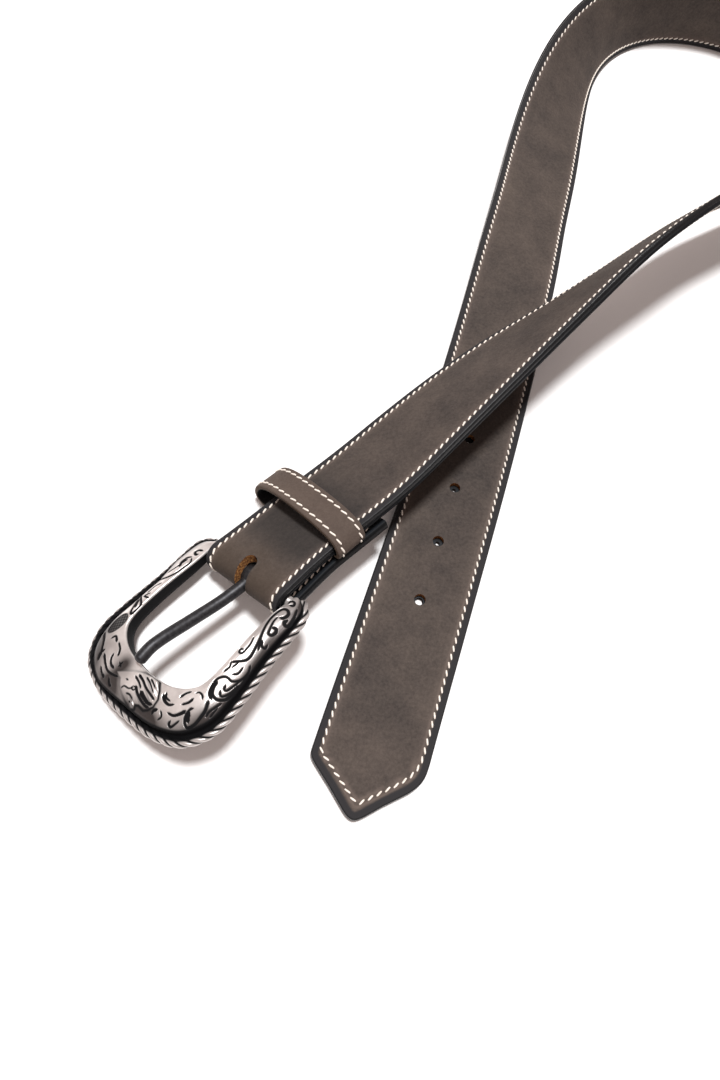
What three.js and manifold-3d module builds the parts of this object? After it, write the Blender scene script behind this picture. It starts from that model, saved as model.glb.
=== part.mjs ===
// Western leather belt with a cast prong buckle, lying unfastened in a loose loop on a flat surface.
// Millimetres, +Z up. The strap runs from the fold at the buckle, round the loop, to the pointed tip.
import * as THREE from "three";
import { mergeVertices } from "three/addons/utils/BufferGeometryUtils.js";
import Module from "manifold-3d";

const wasm = await Module();
wasm.setup();

// Strap: two plies of leather with a hair of room between them
const STRAP_WIDTH = 40;
const OUTER_PLY = 2.0;
const PLY_GAP = 0.3;
const LINING_PLY = 1.5;
const STRAP_THICK = OUTER_PLY + PLY_GAP + LINING_PLY;
const EDGE_BEVEL = 0.5;
const STRAP_LENGTH = 1050;

// Fold round the buckle's bar and the end that is turned back under the strap; the strap is
// a little narrower there, and the keeper's lower side lies between the two layers
const FOLD_RADIUS = 6.1;
const FOLD_HALF_WIDTH = 19.2;
const FOLD_EASE = [5, 45];
const BACK_LENGTH = 50;
const KEEPER_WALL = 1.9;
const KEEPER_ROOM = 0.5;
const BACK_DEPTH = 2 * (STRAP_THICK + KEEPER_ROOM) + KEEPER_WALL;
const BACK_SETTLE = 26;

// Prong slot, measured across the strap from its middle
const SLOT_LEFT = -3.4;
const SLOT_RIGHT = 2.3;
const SLOT_REACH = 4.5;

// Holes for the prong, counted from the tip
const HOLE_COUNT = 5;
const HOLE_RADIUS = 2.2;
const FIRST_HOLE = 81.2;
const HOLE_PITCH = 25.4;

// Keeper loop: its outer line, across the strap and out of the strap's face; it hangs to one side
const KEEPER_AT = 32.6;
const KEEPER_WIDTH = 13;
const KEEPER_SKEW = -0.05;
const KEEPER_BOTTOM = -(STRAP_THICK + KEEPER_ROOM + KEEPER_WALL);
const KEEPER_COLUMNS = { across: 0, out: 1 };
const KEEPER_LINE = [
  [22.3, -3.2],
  [22.2, -0.4],
  [20.6, 3.1],
  [15.6, 5.4],
  [10.2, 6.7],
  [4.2, 7.5],
  [-2.2, 8.1],
  [-9.0, 8.3],
  [-16.0, 7.8],
  [-22.4, 6.1],
  [-27.6, 2.9],
  [-31.0, -1.4],
  [-31.2, -5.0],
  [-28.8, -7.2],
  [-25.0, -7.5],
  [-21.6, -6.6],
  [-17.5, KEEPER_BOTTOM],
  [-12.0, KEEPER_BOTTOM],
  [-6.0, KEEPER_BOTTOM],
  [0.0, KEEPER_BOTTOM],
  [6.0, KEEPER_BOTTOM],
  [12.0, KEEPER_BOTTOM],
  [17.0, KEEPER_BOTTOM],
  [20.6, -5.7],
];

// Buckle frame: u runs from the bar to the bow, v across the strap, w up from the face of the bar
const BAR_RADIUS = 2.0;
const BAR_HALF = 22;
const FRAME_SHIFT = -0.5;
const FRAME_BOTTOM = -2.5;
const INNER_FOOT = 0.45;
const FRAME_PITCH = 8.8;
const ROPE_MAJOR = 1.95;
const ROPE_MINOR = 1.3;
const ROPE_LAY = 7.4;
const ROPE_HEIGHT = -0.4;

// Prong
const PRONG_RADIUS = 2.2;
const PRONG_V = -0.4;
const RING_INNER = 2.3;
const RING_OUTER = 3.9;

// Middle of the strap's outer face every 30 mm from the fold to the tip
const PATH_STEP = 30;
const PATH_COLUMNS = { x: 0, y: 1, z: 2, roll: 3 };
const PATH = [
  [-72.5, -79.3, 21.5, 19.7],
  [-55.8, -55.5, 19.35, 24.0],
  [-37.3, -31.9, 19.13, 24.4],
  [-19.5, -8.0, 22.1, 28.2],
  [-1.5, 15.9, 25.23, 34.1],
  [17.2, 39.5, 27.83, 42.4],
  [36.6, 62.0, 31.28, 52.2],
  [56.4, 83.9, 36.67, 59.8],
  [76.5, 106.0, 39.1, 61.7],
  [96.5, 128.3, 37.18, 61.0],
  [118.6, 148.5, 36.16, 61.9],
  [140.0, 169.5, 33.47, 68.9],
  [159.1, 192.6, 29.35, 77.8],
  [173.7, 218.7, 24.78, 85.8],
  [180.5, 247.8, 21.28, 89.9],
  [176.5, 277.4, 20.25, 90.0],
  [160.4, 302.4, 20.25, 90.0],
  [134.8, 317.3, 20.25, 90.0],
  [105.1, 318.7, 20.25, 90.0],
  [77.7, 307.1, 20.55, 84.0],
  [56.5, 286.0, 20.4, 70.4],
  [42.5, 259.6, 18.52, 52.8],
  [34.2, 230.8, 14.78, 34.8],
  [29.3, 201.2, 10.64, 20.2],
  [25.7, 171.4, 8.18, 12.5],
  [22.1, 141.7, 8.86, 13.3],
  [18.4, 112.0, 8.5, 7.2],
  [14.6, 82.2, 6.85, 0.5],
  [10.7, 52.5, 4.74, 0.0],
  [6.5, 23.0, 3.9, 0.0],
  [2.0, -6.1, 3.9, 0.0],
  [-2.9, -35.5, 3.9, 0.0],
  [-8.1, -65.5, 3.9, 0.0],
  [-13.3, -95.6, 3.9, 0.0],
  [-18.4, -125.2, 3.9, 0.0],
  [-23.2, -154.7, 3.9, 0.0],
];

// Half widths of the pointed tip, by distance back from its point
const TIP_COLUMNS = { back: 0, left: 1, right: 2 };
const TIP = [
  [0, 1.3, 1.3],
  [1, 2.7, 2.3],
  [7.5, 10.0, 8.0],
  [14.6, 19.2, 15.6],
  [16.2, 20.0, 17.2],
  [18.8, 20.0, 19.0],
  [21.5, 20.0, 19.8],
  [25, 20.0, 20.0],
];

// Plan of one half of the frame, from the end of the arm to the middle of the bow
const FRAME_COLUMNS = { innerU: 0, innerV: 1, outerU: 2, outerV: 3, rim: 4 };
const FRAME_HALF = [
  [-2.5, 21.6, -2.4, 23.4, 1.6],
  [-1.2, 20.8, -0.8, 26.2, 2.2],
  [1.5, 20.6, 2.2, 28.3, 2.9],
  [7.0, 20.2, 8.5, 29.1, 4.0],
  [13.5, 20.3, 16.0, 29.4, 5.0],
  [20.5, 20.7, 23.5, 30.1, 5.8],
  [27.5, 21.1, 32.0, 31.2, 6.2],
  [34.0, 21.2, 40.5, 32.0, 6.3],
  [38.4, 20.7, 46.8, 31.8, 6.3],
  [41.3, 19.4, 52.3, 29.5, 6.3],
  [43.8, 16.7, 56.9, 25.5, 6.3],
  [45.8, 12.9, 59.7, 19.8, 6.3],
  [47.1, 7.5, 61.6, 11.4, 6.4],
  [47.6, 0.0, 62.2, 0.0, 6.4],
];

// Section of the frame: share of the way from the inner to the outer line, share of the rim, height
const SECTION_COLUMNS = { across: 0, ofRim: 1, height: 2 };
const FRAME_SECTION = [
  [0.0, INNER_FOOT, FRAME_BOTTOM],
  [0.0, 1.0, -0.7],
  [0.05, 1.0, 0.0],
  [0.25, 0.97, 0.0],
  [0.45, 0.85, 0.0],
  [0.65, 0.63, 0.0],
  [0.8, 0.4, 0.0],
  [0.86, 0.1, 0.0],
  [1.0, 0.0, 0.0],
  [1.0, 0.0, -1.7],
  [0.9, 0.0, FRAME_BOTTOM],
];

// Outline of the small horse head on the bow, in u and v, and the slope of its face
const HORSE_OUTLINE = [
  [55.1, -10.8],
  [53.8, -7.3],
  [52.0, -5.1],
  [51.0, -2.5],
  [50.0, 1.5],
  [48.8, 5.3],
  [48.5, 8.2],
  [52.0, 12.1],
  [54.0, 11.6],
  [56.2, 10.5],
  [56.5, 6.9],
  [57.6, 6.3],
  [59.3, 6.3],
  [59.7, 4.4],
  [58.6, 1.0],
  [57.9, -2.6],
  [56.5, -5.2],
  [55.9, -7.8],
];
const HORSE_TOP = 7.8;
const HORSE_SLOPE = -0.36;
const HORSE_DEPTH = 3.0;

// Middle line of the prong in u, v and w
const PRONG_PATH = [
  [3.0, -0.3, 0.3],
  [6.5, -0.3, 0.7],
  [14.1, -1.2, 1.7],
  [21.5, -2.0, 3.5],
  [28.4, -2.5, 5.6],
  [34.0, -2.8, 7.5],
  [38.8, -3.0, 8.9],
  [42.0, -3.1, 9.35],
  [45.0, -3.0, 9.3],
  [47.8, -2.9, 9.2],
];

// Natural cubic spline through values a fixed step apart
function naturalSpline(values, step) {
  const n = values.length;
  const bend = new Array(n).fill(0);
  const up = new Array(n).fill(0);
  const right = new Array(n).fill(0);
  for (let i = 1; i < n - 1; i++) {
    const jump = (6 * (values[i + 1] - 2 * values[i] + values[i - 1])) / (step * step);
    const pivot = 4 - up[i - 1];
    up[i] = 1 / pivot;
    right[i] = (jump - right[i - 1]) / pivot;
  }
  for (let i = n - 2; i > 0; i--) bend[i] = right[i] - up[i] * bend[i + 1];
  return (s) => {
    const i = Math.min(Math.max(Math.floor(s / step), 0), n - 2);
    const a = s / step - i;
    const b = 1 - a;
    const curve = ((b * b * b - b) * bend[i] + (a * a * a - a) * bend[i + 1]) * (step * step);
    return b * values[i] + a * values[i + 1] + curve / 6;
  };
}

const column = (rows, index) => rows.map((row) => row[index]);
const pathX = naturalSpline(column(PATH, PATH_COLUMNS.x), PATH_STEP);
const pathY = naturalSpline(column(PATH, PATH_COLUMNS.y), PATH_STEP);
const pathZ = naturalSpline(column(PATH, PATH_COLUMNS.z), PATH_STEP);
const pathRoll = naturalSpline(column(PATH, PATH_COLUMNS.roll), PATH_STEP);
const UP = new THREE.Vector3(0, 0, 1);

const pathPoint = (s) => new THREE.Vector3(pathX(s), pathY(s), pathZ(s));

// Frame of the strap at s: along it, across it towards its raised edge, and out of its outer face
function topFrame(s) {
  const reach = 0.5;
  const back = Math.max(s - reach, 0);
  const ahead = Math.min(s + reach, STRAP_LENGTH);
  const along = pathPoint(ahead).sub(pathPoint(back)).normalize();
  const level = new THREE.Vector3().crossVectors(along, UP).normalize();
  const lift = new THREE.Vector3().crossVectors(level, along);
  const roll = THREE.MathUtils.degToRad(pathRoll(s));
  const across = level.multiplyScalar(Math.cos(roll)).addScaledVector(lift, Math.sin(roll));
  const out = new THREE.Vector3().crossVectors(across, along);
  return { point: pathPoint(s), along, across, out };
}

// The strap's frame over its whole run; below 0 it goes round the bar and back under itself
const FOLD_ARC = Math.PI * FOLD_RADIUS;
const foldFrame = topFrame(0);
const barCentre = foldFrame.point.clone().addScaledVector(foldFrame.out, -FOLD_RADIUS);

function strapFrame(s) {
  if (s >= 0) return topFrame(s);
  if (s >= -FOLD_ARC) {
    const turn = -s / FOLD_RADIUS;
    const out = foldFrame.out
      .clone()
      .multiplyScalar(Math.cos(turn))
      .addScaledVector(foldFrame.along, -Math.sin(turn));
    const along = foldFrame.out
      .clone()
      .multiplyScalar(Math.sin(turn))
      .addScaledVector(foldFrame.along, Math.cos(turn));
    const point = barCentre.clone().addScaledVector(out, FOLD_RADIUS);
    return { point, along, across: foldFrame.across.clone(), out };
  }
  const q = -s - FOLD_ARC;
  const top = topFrame(q);
  const depth = THREE.MathUtils.lerp(
    2 * FOLD_RADIUS,
    BACK_DEPTH,
    THREE.MathUtils.smoothstep(q, 0, BACK_SETTLE),
  );
  const point = top.point.addScaledVector(top.out, -depth);
  return { point, along: top.along.negate(), across: top.across, out: top.out.negate() };
}

// Half widths of the strap at s, towards its raised edge and towards the other one
function halfWidths(s) {
  const fromFold = Math.max(s, -s - FOLD_ARC);
  if (fromFold < FOLD_EASE[1]) {
    const full = THREE.MathUtils.smoothstep(fromFold, ...FOLD_EASE);
    const half = THREE.MathUtils.lerp(FOLD_HALF_WIDTH, STRAP_WIDTH / 2, full);
    return [half, half];
  }
  const back = STRAP_LENGTH - s;
  const last = TIP[TIP.length - 1];
  if (back >= last[TIP_COLUMNS.back]) return [STRAP_WIDTH / 2, STRAP_WIDTH / 2];
  const i = TIP.findIndex((row) => row[TIP_COLUMNS.back] > back + 1e-9);
  const low = TIP[i - 1];
  const high = TIP[i];
  const share =
    (back - low[TIP_COLUMNS.back]) / (high[TIP_COLUMNS.back] - low[TIP_COLUMNS.back]);
  return [TIP_COLUMNS.left, TIP_COLUMNS.right].map((c) =>
    THREE.MathUtils.lerp(low[c], high[c], share),
  );
}

// Closed skin over equal sections, given as lists of points; it has flat ends unless it is a ring
function skin(sections, outline, ring = false) {
  const count = outline.length;
  const positions = [];
  for (const section of sections) for (const p of section) positions.push(p.x, p.y, p.z);
  const index = [];
  const bands = ring ? sections.length : sections.length - 1;
  for (let i = 0; i < bands; i++) {
    const a = i * count;
    const b = ((i + 1) % sections.length) * count;
    for (let j = 0; j < count; j++) {
      const k = (j + 1) % count;
      index.push(a + j, b + j, a + k, a + k, b + j, b + k);
    }
  }
  if (!ring) {
    const end = (sections.length - 1) * count;
    const turn = Math.sign(THREE.ShapeUtils.area(outline));
    for (const face of THREE.ShapeUtils.triangulateShape(outline, [])) {
      const corners = face.map((i) => outline[i]);
      const [p, q, r] = Math.sign(THREE.ShapeUtils.area(corners)) === turn ? face : face.reverse();
      index.push(p, q, r);
      index.push(end + p, end + r, end + q);
    }
  }
  const geometry = new THREE.BufferGeometry();
  geometry.setAttribute("position", new THREE.Float32BufferAttribute(positions, 3));
  geometry.setIndex(index);
  return geometry;
}

// A closed geometry as a solid that can be joined and cut, its faces turned outwards
function solid(geometry) {
  const bare = geometry.clone();
  bare.deleteAttribute("normal");
  bare.deleteAttribute("uv");
  const merged = mergeVertices(bare, 1e-4);
  const vertProperties = new Float32Array(merged.attributes.position.array);
  const triVerts = new Uint32Array(merged.index.array);
  let made = new wasm.Manifold(new wasm.Mesh({ numProp: 3, vertProperties, triVerts }));
  if (made.volume() < 0) {
    for (let i = 0; i < triVerts.length; i += 3) {
      [triVerts[i + 1], triVerts[i + 2]] = [triVerts[i + 2], triVerts[i + 1]];
    }
    made = new wasm.Manifold(new wasm.Mesh({ numProp: 3, vertProperties, triVerts }));
  }
  return made;
}

function geometryOf(body) {
  const mesh = body.getMesh();
  const stride = mesh.numProp;
  const positions = new Float32Array(mesh.numVert * 3);
  for (let i = 0; i < mesh.numVert; i++) {
    positions.set(mesh.vertProperties.subarray(i * stride, i * stride + 3), i * 3);
  }
  const geometry = new THREE.BufferGeometry();
  geometry.setAttribute("position", new THREE.BufferAttribute(positions, 3));
  geometry.setIndex(new THREE.BufferAttribute(new Uint32Array(mesh.triVerts), 1));
  const faceted = geometry.toNonIndexed();
  faceted.computeVertexNormals();
  return faceted;
}

const range = (from, to, steps) =>
  Array.from({ length: steps + 1 }, (_, i) => from + ((to - from) * i) / steps);

const distinct = (list) => list.filter((s, i) => i === 0 || s - list[i - 1] > 1e-6);

// Stations along the strap: close in the fold and at the tip, wide where it lies flat
const stations = distinct([
  ...range(-FOLD_ARC - BACK_LENGTH, -FOLD_ARC - BACK_SETTLE, 5),
  ...range(-FOLD_ARC - BACK_SETTLE, -FOLD_ARC, 4),
  ...range(-FOLD_ARC, 0, 12),
  ...range(0, 60, 8),
  ...range(60, 330, 27),
  ...range(330, 780, 50),
  ...range(780, 870, 6),
  ...range(870, STRAP_LENGTH - 25, 7),
  ...column(TIP, TIP_COLUMNS.back)
    .map((back) => STRAP_LENGTH - back)
    .reverse(),
]);

// One ply between two depths below the outer face; the bevel is on its face that shows.
// Both plies run their inner faces the same way, so that a twisted stretch is cut along one diagonal.
function plyGeometry(top, bottom, bevelTop) {
  const outline = bevelTop
    ? [
        [-1, 0, bottom],
        [-1, 0, top - EDGE_BEVEL],
        [-1, EDGE_BEVEL, top],
        [1, -EDGE_BEVEL, top],
        [1, 0, top - EDGE_BEVEL],
        [1, 0, bottom],
      ]
    : [
        [1, -EDGE_BEVEL, bottom],
        [1, 0, bottom + EDGE_BEVEL],
        [1, 0, top],
        [-1, 0, top],
        [-1, 0, bottom + EDGE_BEVEL],
        [-1, EDGE_BEVEL, bottom],
      ];
  const sections = stations.map((s) => {
    const { point, across, out } = strapFrame(s);
    const [raised, other] = halfWidths(s);
    return outline.map(([side, inset, n]) => {
      const t = side > 0 ? raised + inset : -other + inset;
      return point.clone().addScaledVector(across, t).addScaledVector(out, n);
    });
  });
  const flat = outline.map(([side, inset, n]) => {
    return new THREE.Vector2((side * STRAP_WIDTH) / 2 + inset, n);
  });
  return skin(sections, flat);
}

// Tools for the prong slot, which follows the fold, and for the row of round holes
function slotTool() {
  const outline = [
    [SLOT_LEFT, 1],
    [SLOT_RIGHT, 1],
    [SLOT_RIGHT, -STRAP_THICK - 0.8],
    [SLOT_LEFT, -STRAP_THICK - 0.8],
  ];
  const sections = range(-FOLD_ARC - SLOT_REACH, SLOT_REACH, 18).map((s) => {
    const { point, across, out } = strapFrame(s);
    return outline.map(([t, n]) =>
      point.clone().addScaledVector(across, t).addScaledVector(out, n),
    );
  });
  return solid(
    skin(
      sections,
      outline.map(([t, n]) => new THREE.Vector2(t, n)),
    ),
  );
}

function holeTool(number) {
  const { point } = topFrame(STRAP_LENGTH - FIRST_HOLE - number * HOLE_PITCH);
  const drill = new THREE.CylinderGeometry(HOLE_RADIUS, HOLE_RADIUS, 30, 16);
  drill.rotateX(Math.PI / 2);
  drill.translate(point.x, point.y, point.z);
  return solid(drill);
}

const cutters = [slotTool(), ...range(0, HOLE_COUNT - 1, HOLE_COUNT - 1).map(holeTool)];
const cutPly = (geometry) =>
  geometryOf(cutters.reduce((ply, tool) => ply.subtract(tool), solid(geometry)));

// Keeper: a loose band bent round the strap's upper layer, standing proud of the face
const KEEPER_STEPS = 2;
function keeperGeometry() {
  const { point, along, across, out } = topFrame(KEEPER_AT);
  const line = new THREE.CatmullRomCurve3(
    KEEPER_LINE.map(([t, n]) => new THREE.Vector3(t, n, 0)),
    true,
    "catmullrom",
    0.5,
  );
  const count = KEEPER_LINE.length * KEEPER_STEPS;
  const half = KEEPER_WIDTH / 2;
  const band = [
    new THREE.Vector2(-half, -KEEPER_WALL),
    new THREE.Vector2(-half, -EDGE_BEVEL),
    new THREE.Vector2(-half + EDGE_BEVEL, 0),
    new THREE.Vector2(half - EDGE_BEVEL, 0),
    new THREE.Vector2(half, -EDGE_BEVEL),
    new THREE.Vector2(half, -KEEPER_WALL),
  ];
  const sections = range(0, count - 1, count - 1).map((i) => {
    const { x: t, y: n } = line.getPoint(i / count);
    const tangent = line.getTangent(i / count);
    return band.map(({ x, y }) =>
      point
        .clone()
        .addScaledVector(across, t + y * tangent.y)
        .addScaledVector(out, n - y * tangent.x)
        .addScaledVector(along, x + KEEPER_SKEW * t),
    );
  });
  return geometryOf(solid(skin(sections, band, true)));
}

// Both halves of the frame's plan as one run from the low arm round the bow to the high arm
const FRAME_STEPS = 2;
function framePlan() {
  const columns = Object.values(FRAME_COLUMNS).map((c) =>
    naturalSpline(column(FRAME_HALF, c), 1),
  );
  const half = range(0, FRAME_HALF.length - 1, (FRAME_HALF.length - 1) * FRAME_STEPS).map((i) =>
    columns.map((at) => at(i)),
  );
  const mirror = ([iu, iv, ou, ov, rim]) => [iu, -iv, ou, -ov, rim];
  return [...half.map(mirror), ...half.slice(0, -1).reverse()];
}

function frameBody() {
  const sections = framePlan().map(([innerU, innerV, outerU, outerV, rim]) =>
    FRAME_SECTION.map(([across, ofRim, height]) => {
      const u = THREE.MathUtils.lerp(innerU, outerU, across);
      const v = THREE.MathUtils.lerp(innerV, outerV, across);
      return new THREE.Vector3(u, v + FRAME_SHIFT, ofRim * rim + height);
    }),
  );
  const rim = FRAME_HALF[0][FRAME_COLUMNS.rim];
  const flat = FRAME_SECTION.map(
    ([across, ofRim, height]) => new THREE.Vector2(across * 4, ofRim * rim + height),
  );
  return solid(skin(sections, flat));
}

// Twisted rope along the frame's outer line: a flat oval that turns as it goes
const ROPE_SIDES = 8;
const ROPE_STEPS = 150;
function ropeBorder() {
  const line = new THREE.CatmullRomCurve3(
    framePlan().map(([, , u, v]) => new THREE.Vector3(u, v + FRAME_SHIFT, ROPE_HEIGHT)),
  );
  const length = line.getLength();
  const sections = range(0, 1, ROPE_STEPS).map((share) => {
    const centre = line.getPointAt(share);
    const tangent = line.getTangentAt(share);
    const side = new THREE.Vector3().crossVectors(tangent, UP).normalize();
    const twist = (2 * Math.PI * share * length) / ROPE_LAY;
    return range(0, ROPE_SIDES - 1, ROPE_SIDES - 1).map((i) => {
      const angle = (2 * Math.PI * i) / ROPE_SIDES;
      const a = ROPE_MAJOR * Math.cos(angle - twist);
      const b = ROPE_MINOR * Math.sin(angle - twist);
      const across = a * Math.cos(twist) - b * Math.sin(twist);
      const rise = a * Math.sin(twist) + b * Math.cos(twist);
      return centre.clone().addScaledVector(side, across).addScaledVector(UP, rise);
    });
  });
  const flat = range(0, ROPE_SIDES - 1, ROPE_SIDES - 1).map((i) => {
    const angle = (2 * Math.PI * i) / ROPE_SIDES;
    return new THREE.Vector2(ROPE_MAJOR * Math.cos(angle), ROPE_MINOR * Math.sin(angle));
  });
  return solid(skin(sections, flat));
}

function horseHead() {
  const shape = new THREE.Shape(HORSE_OUTLINE.map(([u, v]) => new THREE.Vector2(u, v)));
  const geometry = new THREE.ExtrudeGeometry(shape, {
    depth: HORSE_DEPTH,
    bevelThickness: 0.5,
    bevelSize: 0.45,
    bevelOffset: -0.45,
    bevelSegments: 1,
    steps: 1,
  });
  const positions = geometry.attributes.position;
  for (let i = 0; i < positions.count; i++) {
    const fall = HORSE_SLOPE * (positions.getX(i) - FRAME_HALF[13][FRAME_COLUMNS.innerU]);
    positions.setZ(i, positions.getZ(i) + HORSE_TOP - HORSE_DEPTH - 0.5 + fall);
  }
  return solid(geometry);
}

function frameGeometry() {
  const bar = new THREE.CylinderGeometry(BAR_RADIUS, BAR_RADIUS, 2 * BAR_HALF, 16);
  bar.translate(0, FRAME_SHIFT, 0);
  return geometryOf(frameBody().add(solid(bar)).add(ropeBorder()).add(horseHead()));
}

// Prong: a ring round the bar and a bent round shank that rests on the bow
function prongGeometry() {
  const ring = new THREE.LatheGeometry(
    [
      [RING_INNER, -PRONG_RADIUS],
      [RING_OUTER - 0.4, -PRONG_RADIUS],
      [RING_OUTER, -PRONG_RADIUS + 0.4],
      [RING_OUTER, PRONG_RADIUS - 0.4],
      [RING_OUTER - 0.4, PRONG_RADIUS],
      [RING_INNER, PRONG_RADIUS],
      [RING_INNER, -PRONG_RADIUS],
    ].map(([r, y]) => new THREE.Vector2(r, y)),
    20,
  );
  ring.translate(0, PRONG_V, 0);
  const line = new THREE.CatmullRomCurve3(PRONG_PATH.map(([u, v, w]) => new THREE.Vector3(u, v, w)));
  const round = new THREE.Shape(
    range(0, 11, 11).map((i) => {
      const angle = (2 * Math.PI * i) / 12;
      return new THREE.Vector2(PRONG_RADIUS * Math.cos(angle), PRONG_RADIUS * Math.sin(angle));
    }),
  );
  const shank = new THREE.ExtrudeGeometry(round, { extrudePath: line, steps: 22 });
  const tipPoint = line.getPoint(1);
  const tip = new THREE.SphereGeometry(PRONG_RADIUS, 12, 6);
  tip.scale(0.75, 1, 1);
  tip.translate(tipPoint.x, tipPoint.y, tipPoint.z);
  return geometryOf(solid(ring).add(solid(shank)).add(solid(tip)));
}

const finish = (color, roughness, metalness) =>
  new THREE.MeshStandardMaterial({ color, roughness, metalness });

function piece(name, geometry, material) {
  const mesh = new THREE.Mesh(geometry, material);
  mesh.name = name;
  return mesh;
}

const belt = new THREE.Group();
belt.add(
  piece(
    "strap_outer",
    cutPly(plyGeometry(0, -OUTER_PLY, true)),
    finish(0x5c504a, 0.85, 0),
  ),
  piece(
    "strap_lining",
    cutPly(plyGeometry(-OUTER_PLY - PLY_GAP, -STRAP_THICK, false)),
    finish(0x1e2328, 0.6, 0),
  ),
  piece("keeper", keeperGeometry(), finish(0x5c504a, 0.85, 0)),
);

// The frame and the prong turn about the bar; its middle is their common origin
const pitch = THREE.MathUtils.degToRad(FRAME_PITCH);
const towardsBow = foldFrame.along
  .clone()
  .multiplyScalar(-Math.cos(pitch))
  .addScaledVector(foldFrame.out, -Math.sin(pitch));
const faceUp = new THREE.Vector3().crossVectors(towardsBow, foldFrame.across);
const hinge = new THREE.Group();
hinge.position.copy(barCentre);
hinge.quaternion.setFromRotationMatrix(
  new THREE.Matrix4().makeBasis(towardsBow, foldFrame.across, faceUp),
);
hinge.add(
  piece("buckle_frame", frameGeometry(), finish(0xb8b2aa, 0.35, 1)),
  piece("prong", prongGeometry(), finish(0x4a4a4a, 0.45, 1)),
);
belt.add(hinge);

// The middle of the belt's box stands on the origin
belt.updateMatrixWorld(true);
const box = new THREE.Box3().setFromObject(belt, true);
const centre = box.getCenter(new THREE.Vector3());
belt.position.set(-centre.x, -centre.y, -box.min.z);

export default belt;
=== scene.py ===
# %% [markdown]
# # A leather belt with an engraved prong buckle
# The belt lies unfastened in a loose loop: its buckle end crosses over its tail. Every piece is put where
# the imported model has it. The imported model comes first, and its box is kept.

# %% Load the imported model
import math

import bpy
import numpy as np
from mathutils import Matrix


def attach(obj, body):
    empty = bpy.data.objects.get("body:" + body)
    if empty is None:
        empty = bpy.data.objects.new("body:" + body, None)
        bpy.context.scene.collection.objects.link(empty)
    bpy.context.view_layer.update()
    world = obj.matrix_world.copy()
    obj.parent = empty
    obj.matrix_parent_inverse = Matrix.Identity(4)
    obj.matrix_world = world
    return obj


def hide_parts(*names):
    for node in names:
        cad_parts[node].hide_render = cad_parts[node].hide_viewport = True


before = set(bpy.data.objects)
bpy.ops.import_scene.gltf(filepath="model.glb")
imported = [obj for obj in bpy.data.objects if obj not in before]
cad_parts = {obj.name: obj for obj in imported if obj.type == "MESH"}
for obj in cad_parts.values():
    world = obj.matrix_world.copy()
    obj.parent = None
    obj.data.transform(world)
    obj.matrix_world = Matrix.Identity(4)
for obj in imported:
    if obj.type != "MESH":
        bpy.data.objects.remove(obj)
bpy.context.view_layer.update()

MM = 0.001

# %% [markdown]
# ## Camera
# The photograph was taken from close above with a fairly wide lens, so near things look large. The camera's
# place and its three directions were worked out from the rows of stitches and holes, which are evenly
# spaced. They are given in the drawing's own millimetres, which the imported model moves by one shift.

# %% Camera at the photograph's viewing angle
DRAWING_SHIFT = np.array([-30.4195, -84.4098, 0.0459])
CAMERA_PLACE = np.array([-35.471, -175.744, 255.598])
CAMERA_RIGHT = np.array([0.986635, 0.146668, 0.070988])
CAMERA_DOWN = np.array([0.162944, -0.888083, -0.429835])
CAMERA_FORWARD = np.array([0.0, 0.435657, -0.900113])
FOCAL_PIXELS = 721.02
FRAME_HEIGHT = 1080
SENSOR_HEIGHT = 36.0

lens = bpy.data.cameras.new("camera")
lens.sensor_fit = "VERTICAL"
lens.sensor_height = SENSOR_HEIGHT
lens.sensor_width = SENSOR_HEIGHT
lens.lens = FOCAL_PIXELS / FRAME_HEIGHT * SENSOR_HEIGHT
lens.clip_start = 0.01
camera = bpy.data.objects.new("camera", lens)
bpy.context.scene.collection.objects.link(camera)
directions = np.stack([CAMERA_RIGHT, -CAMERA_DOWN, -CAMERA_FORWARD], axis=1)
placed = np.eye(4)
placed[:3, :3] = directions
placed[:3, 3] = (CAMERA_PLACE + DRAWING_SHIFT) * MM
camera.matrix_world = Matrix(placed.tolist())
bpy.context.scene.camera = camera
print("lens", round(lens.lens, 2), "mm at", placed[:3, 3].round(4))

# %% [markdown]
# ## Smooth lines from a few points
# The strap, the plan of the buckle, the keeper and the engraving are smooth lines that are known at a few
# points only. Blender's own curves could carry them, but then nothing would say how far along a line a
# stitch or a hole lies, so each line is a formula here. Two kinds are used: a natural spline, which bends as
# little as it can, and a cubic that takes its slopes from the neighbouring points, which is enough for short
# lines and for closed ones.

# %% Spline helpers
def spline_bends(rows):
    """Second differences of a natural cubic spline: each row's bend plus four times its own plus the next
    one's is six times the second difference of the values, with no bend at the two ends."""
    count = len(rows)
    system = np.eye(count)
    inner = np.arange(1, count - 1)
    system[inner, inner - 1] = 1
    system[inner, inner] = 4
    system[inner, inner + 1] = 1
    jumps = np.zeros_like(rows)
    jumps[1:-1] = 6 * (rows[2:] - 2 * rows[1:-1] + rows[:-2])
    return np.linalg.solve(system, jumps)


def on_spline(rows, bends, place):
    """Values at a place counted in rows: between two rows, the straight blend plus the cubes of both shares,
    each less the share, times a sixth of the bends."""
    place = np.asarray(place, float)
    row = np.clip(place.astype(int), 0, len(rows) - 2)
    ahead = (place - row)[..., None]
    behind = 1 - ahead
    straight = behind * rows[row] + ahead * rows[row + 1]
    curved = (behind**3 - behind) * bends[row] + (ahead**3 - ahead) * bends[row + 1]
    return straight + curved / 6


def slope_cubic(before, here, after, beyond, x):
    """The cubic from here to after, for x from 0 to 1, whose slope at either end is half the step between
    the two neighbours of that end."""
    line = here + 0.5 * x * (after - before)
    line = line + 0.5 * x**2 * (2 * before - 5 * here + 4 * after - beyond)
    return line + 0.5 * x**3 * (3 * here - before - 3 * after + beyond)


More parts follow.
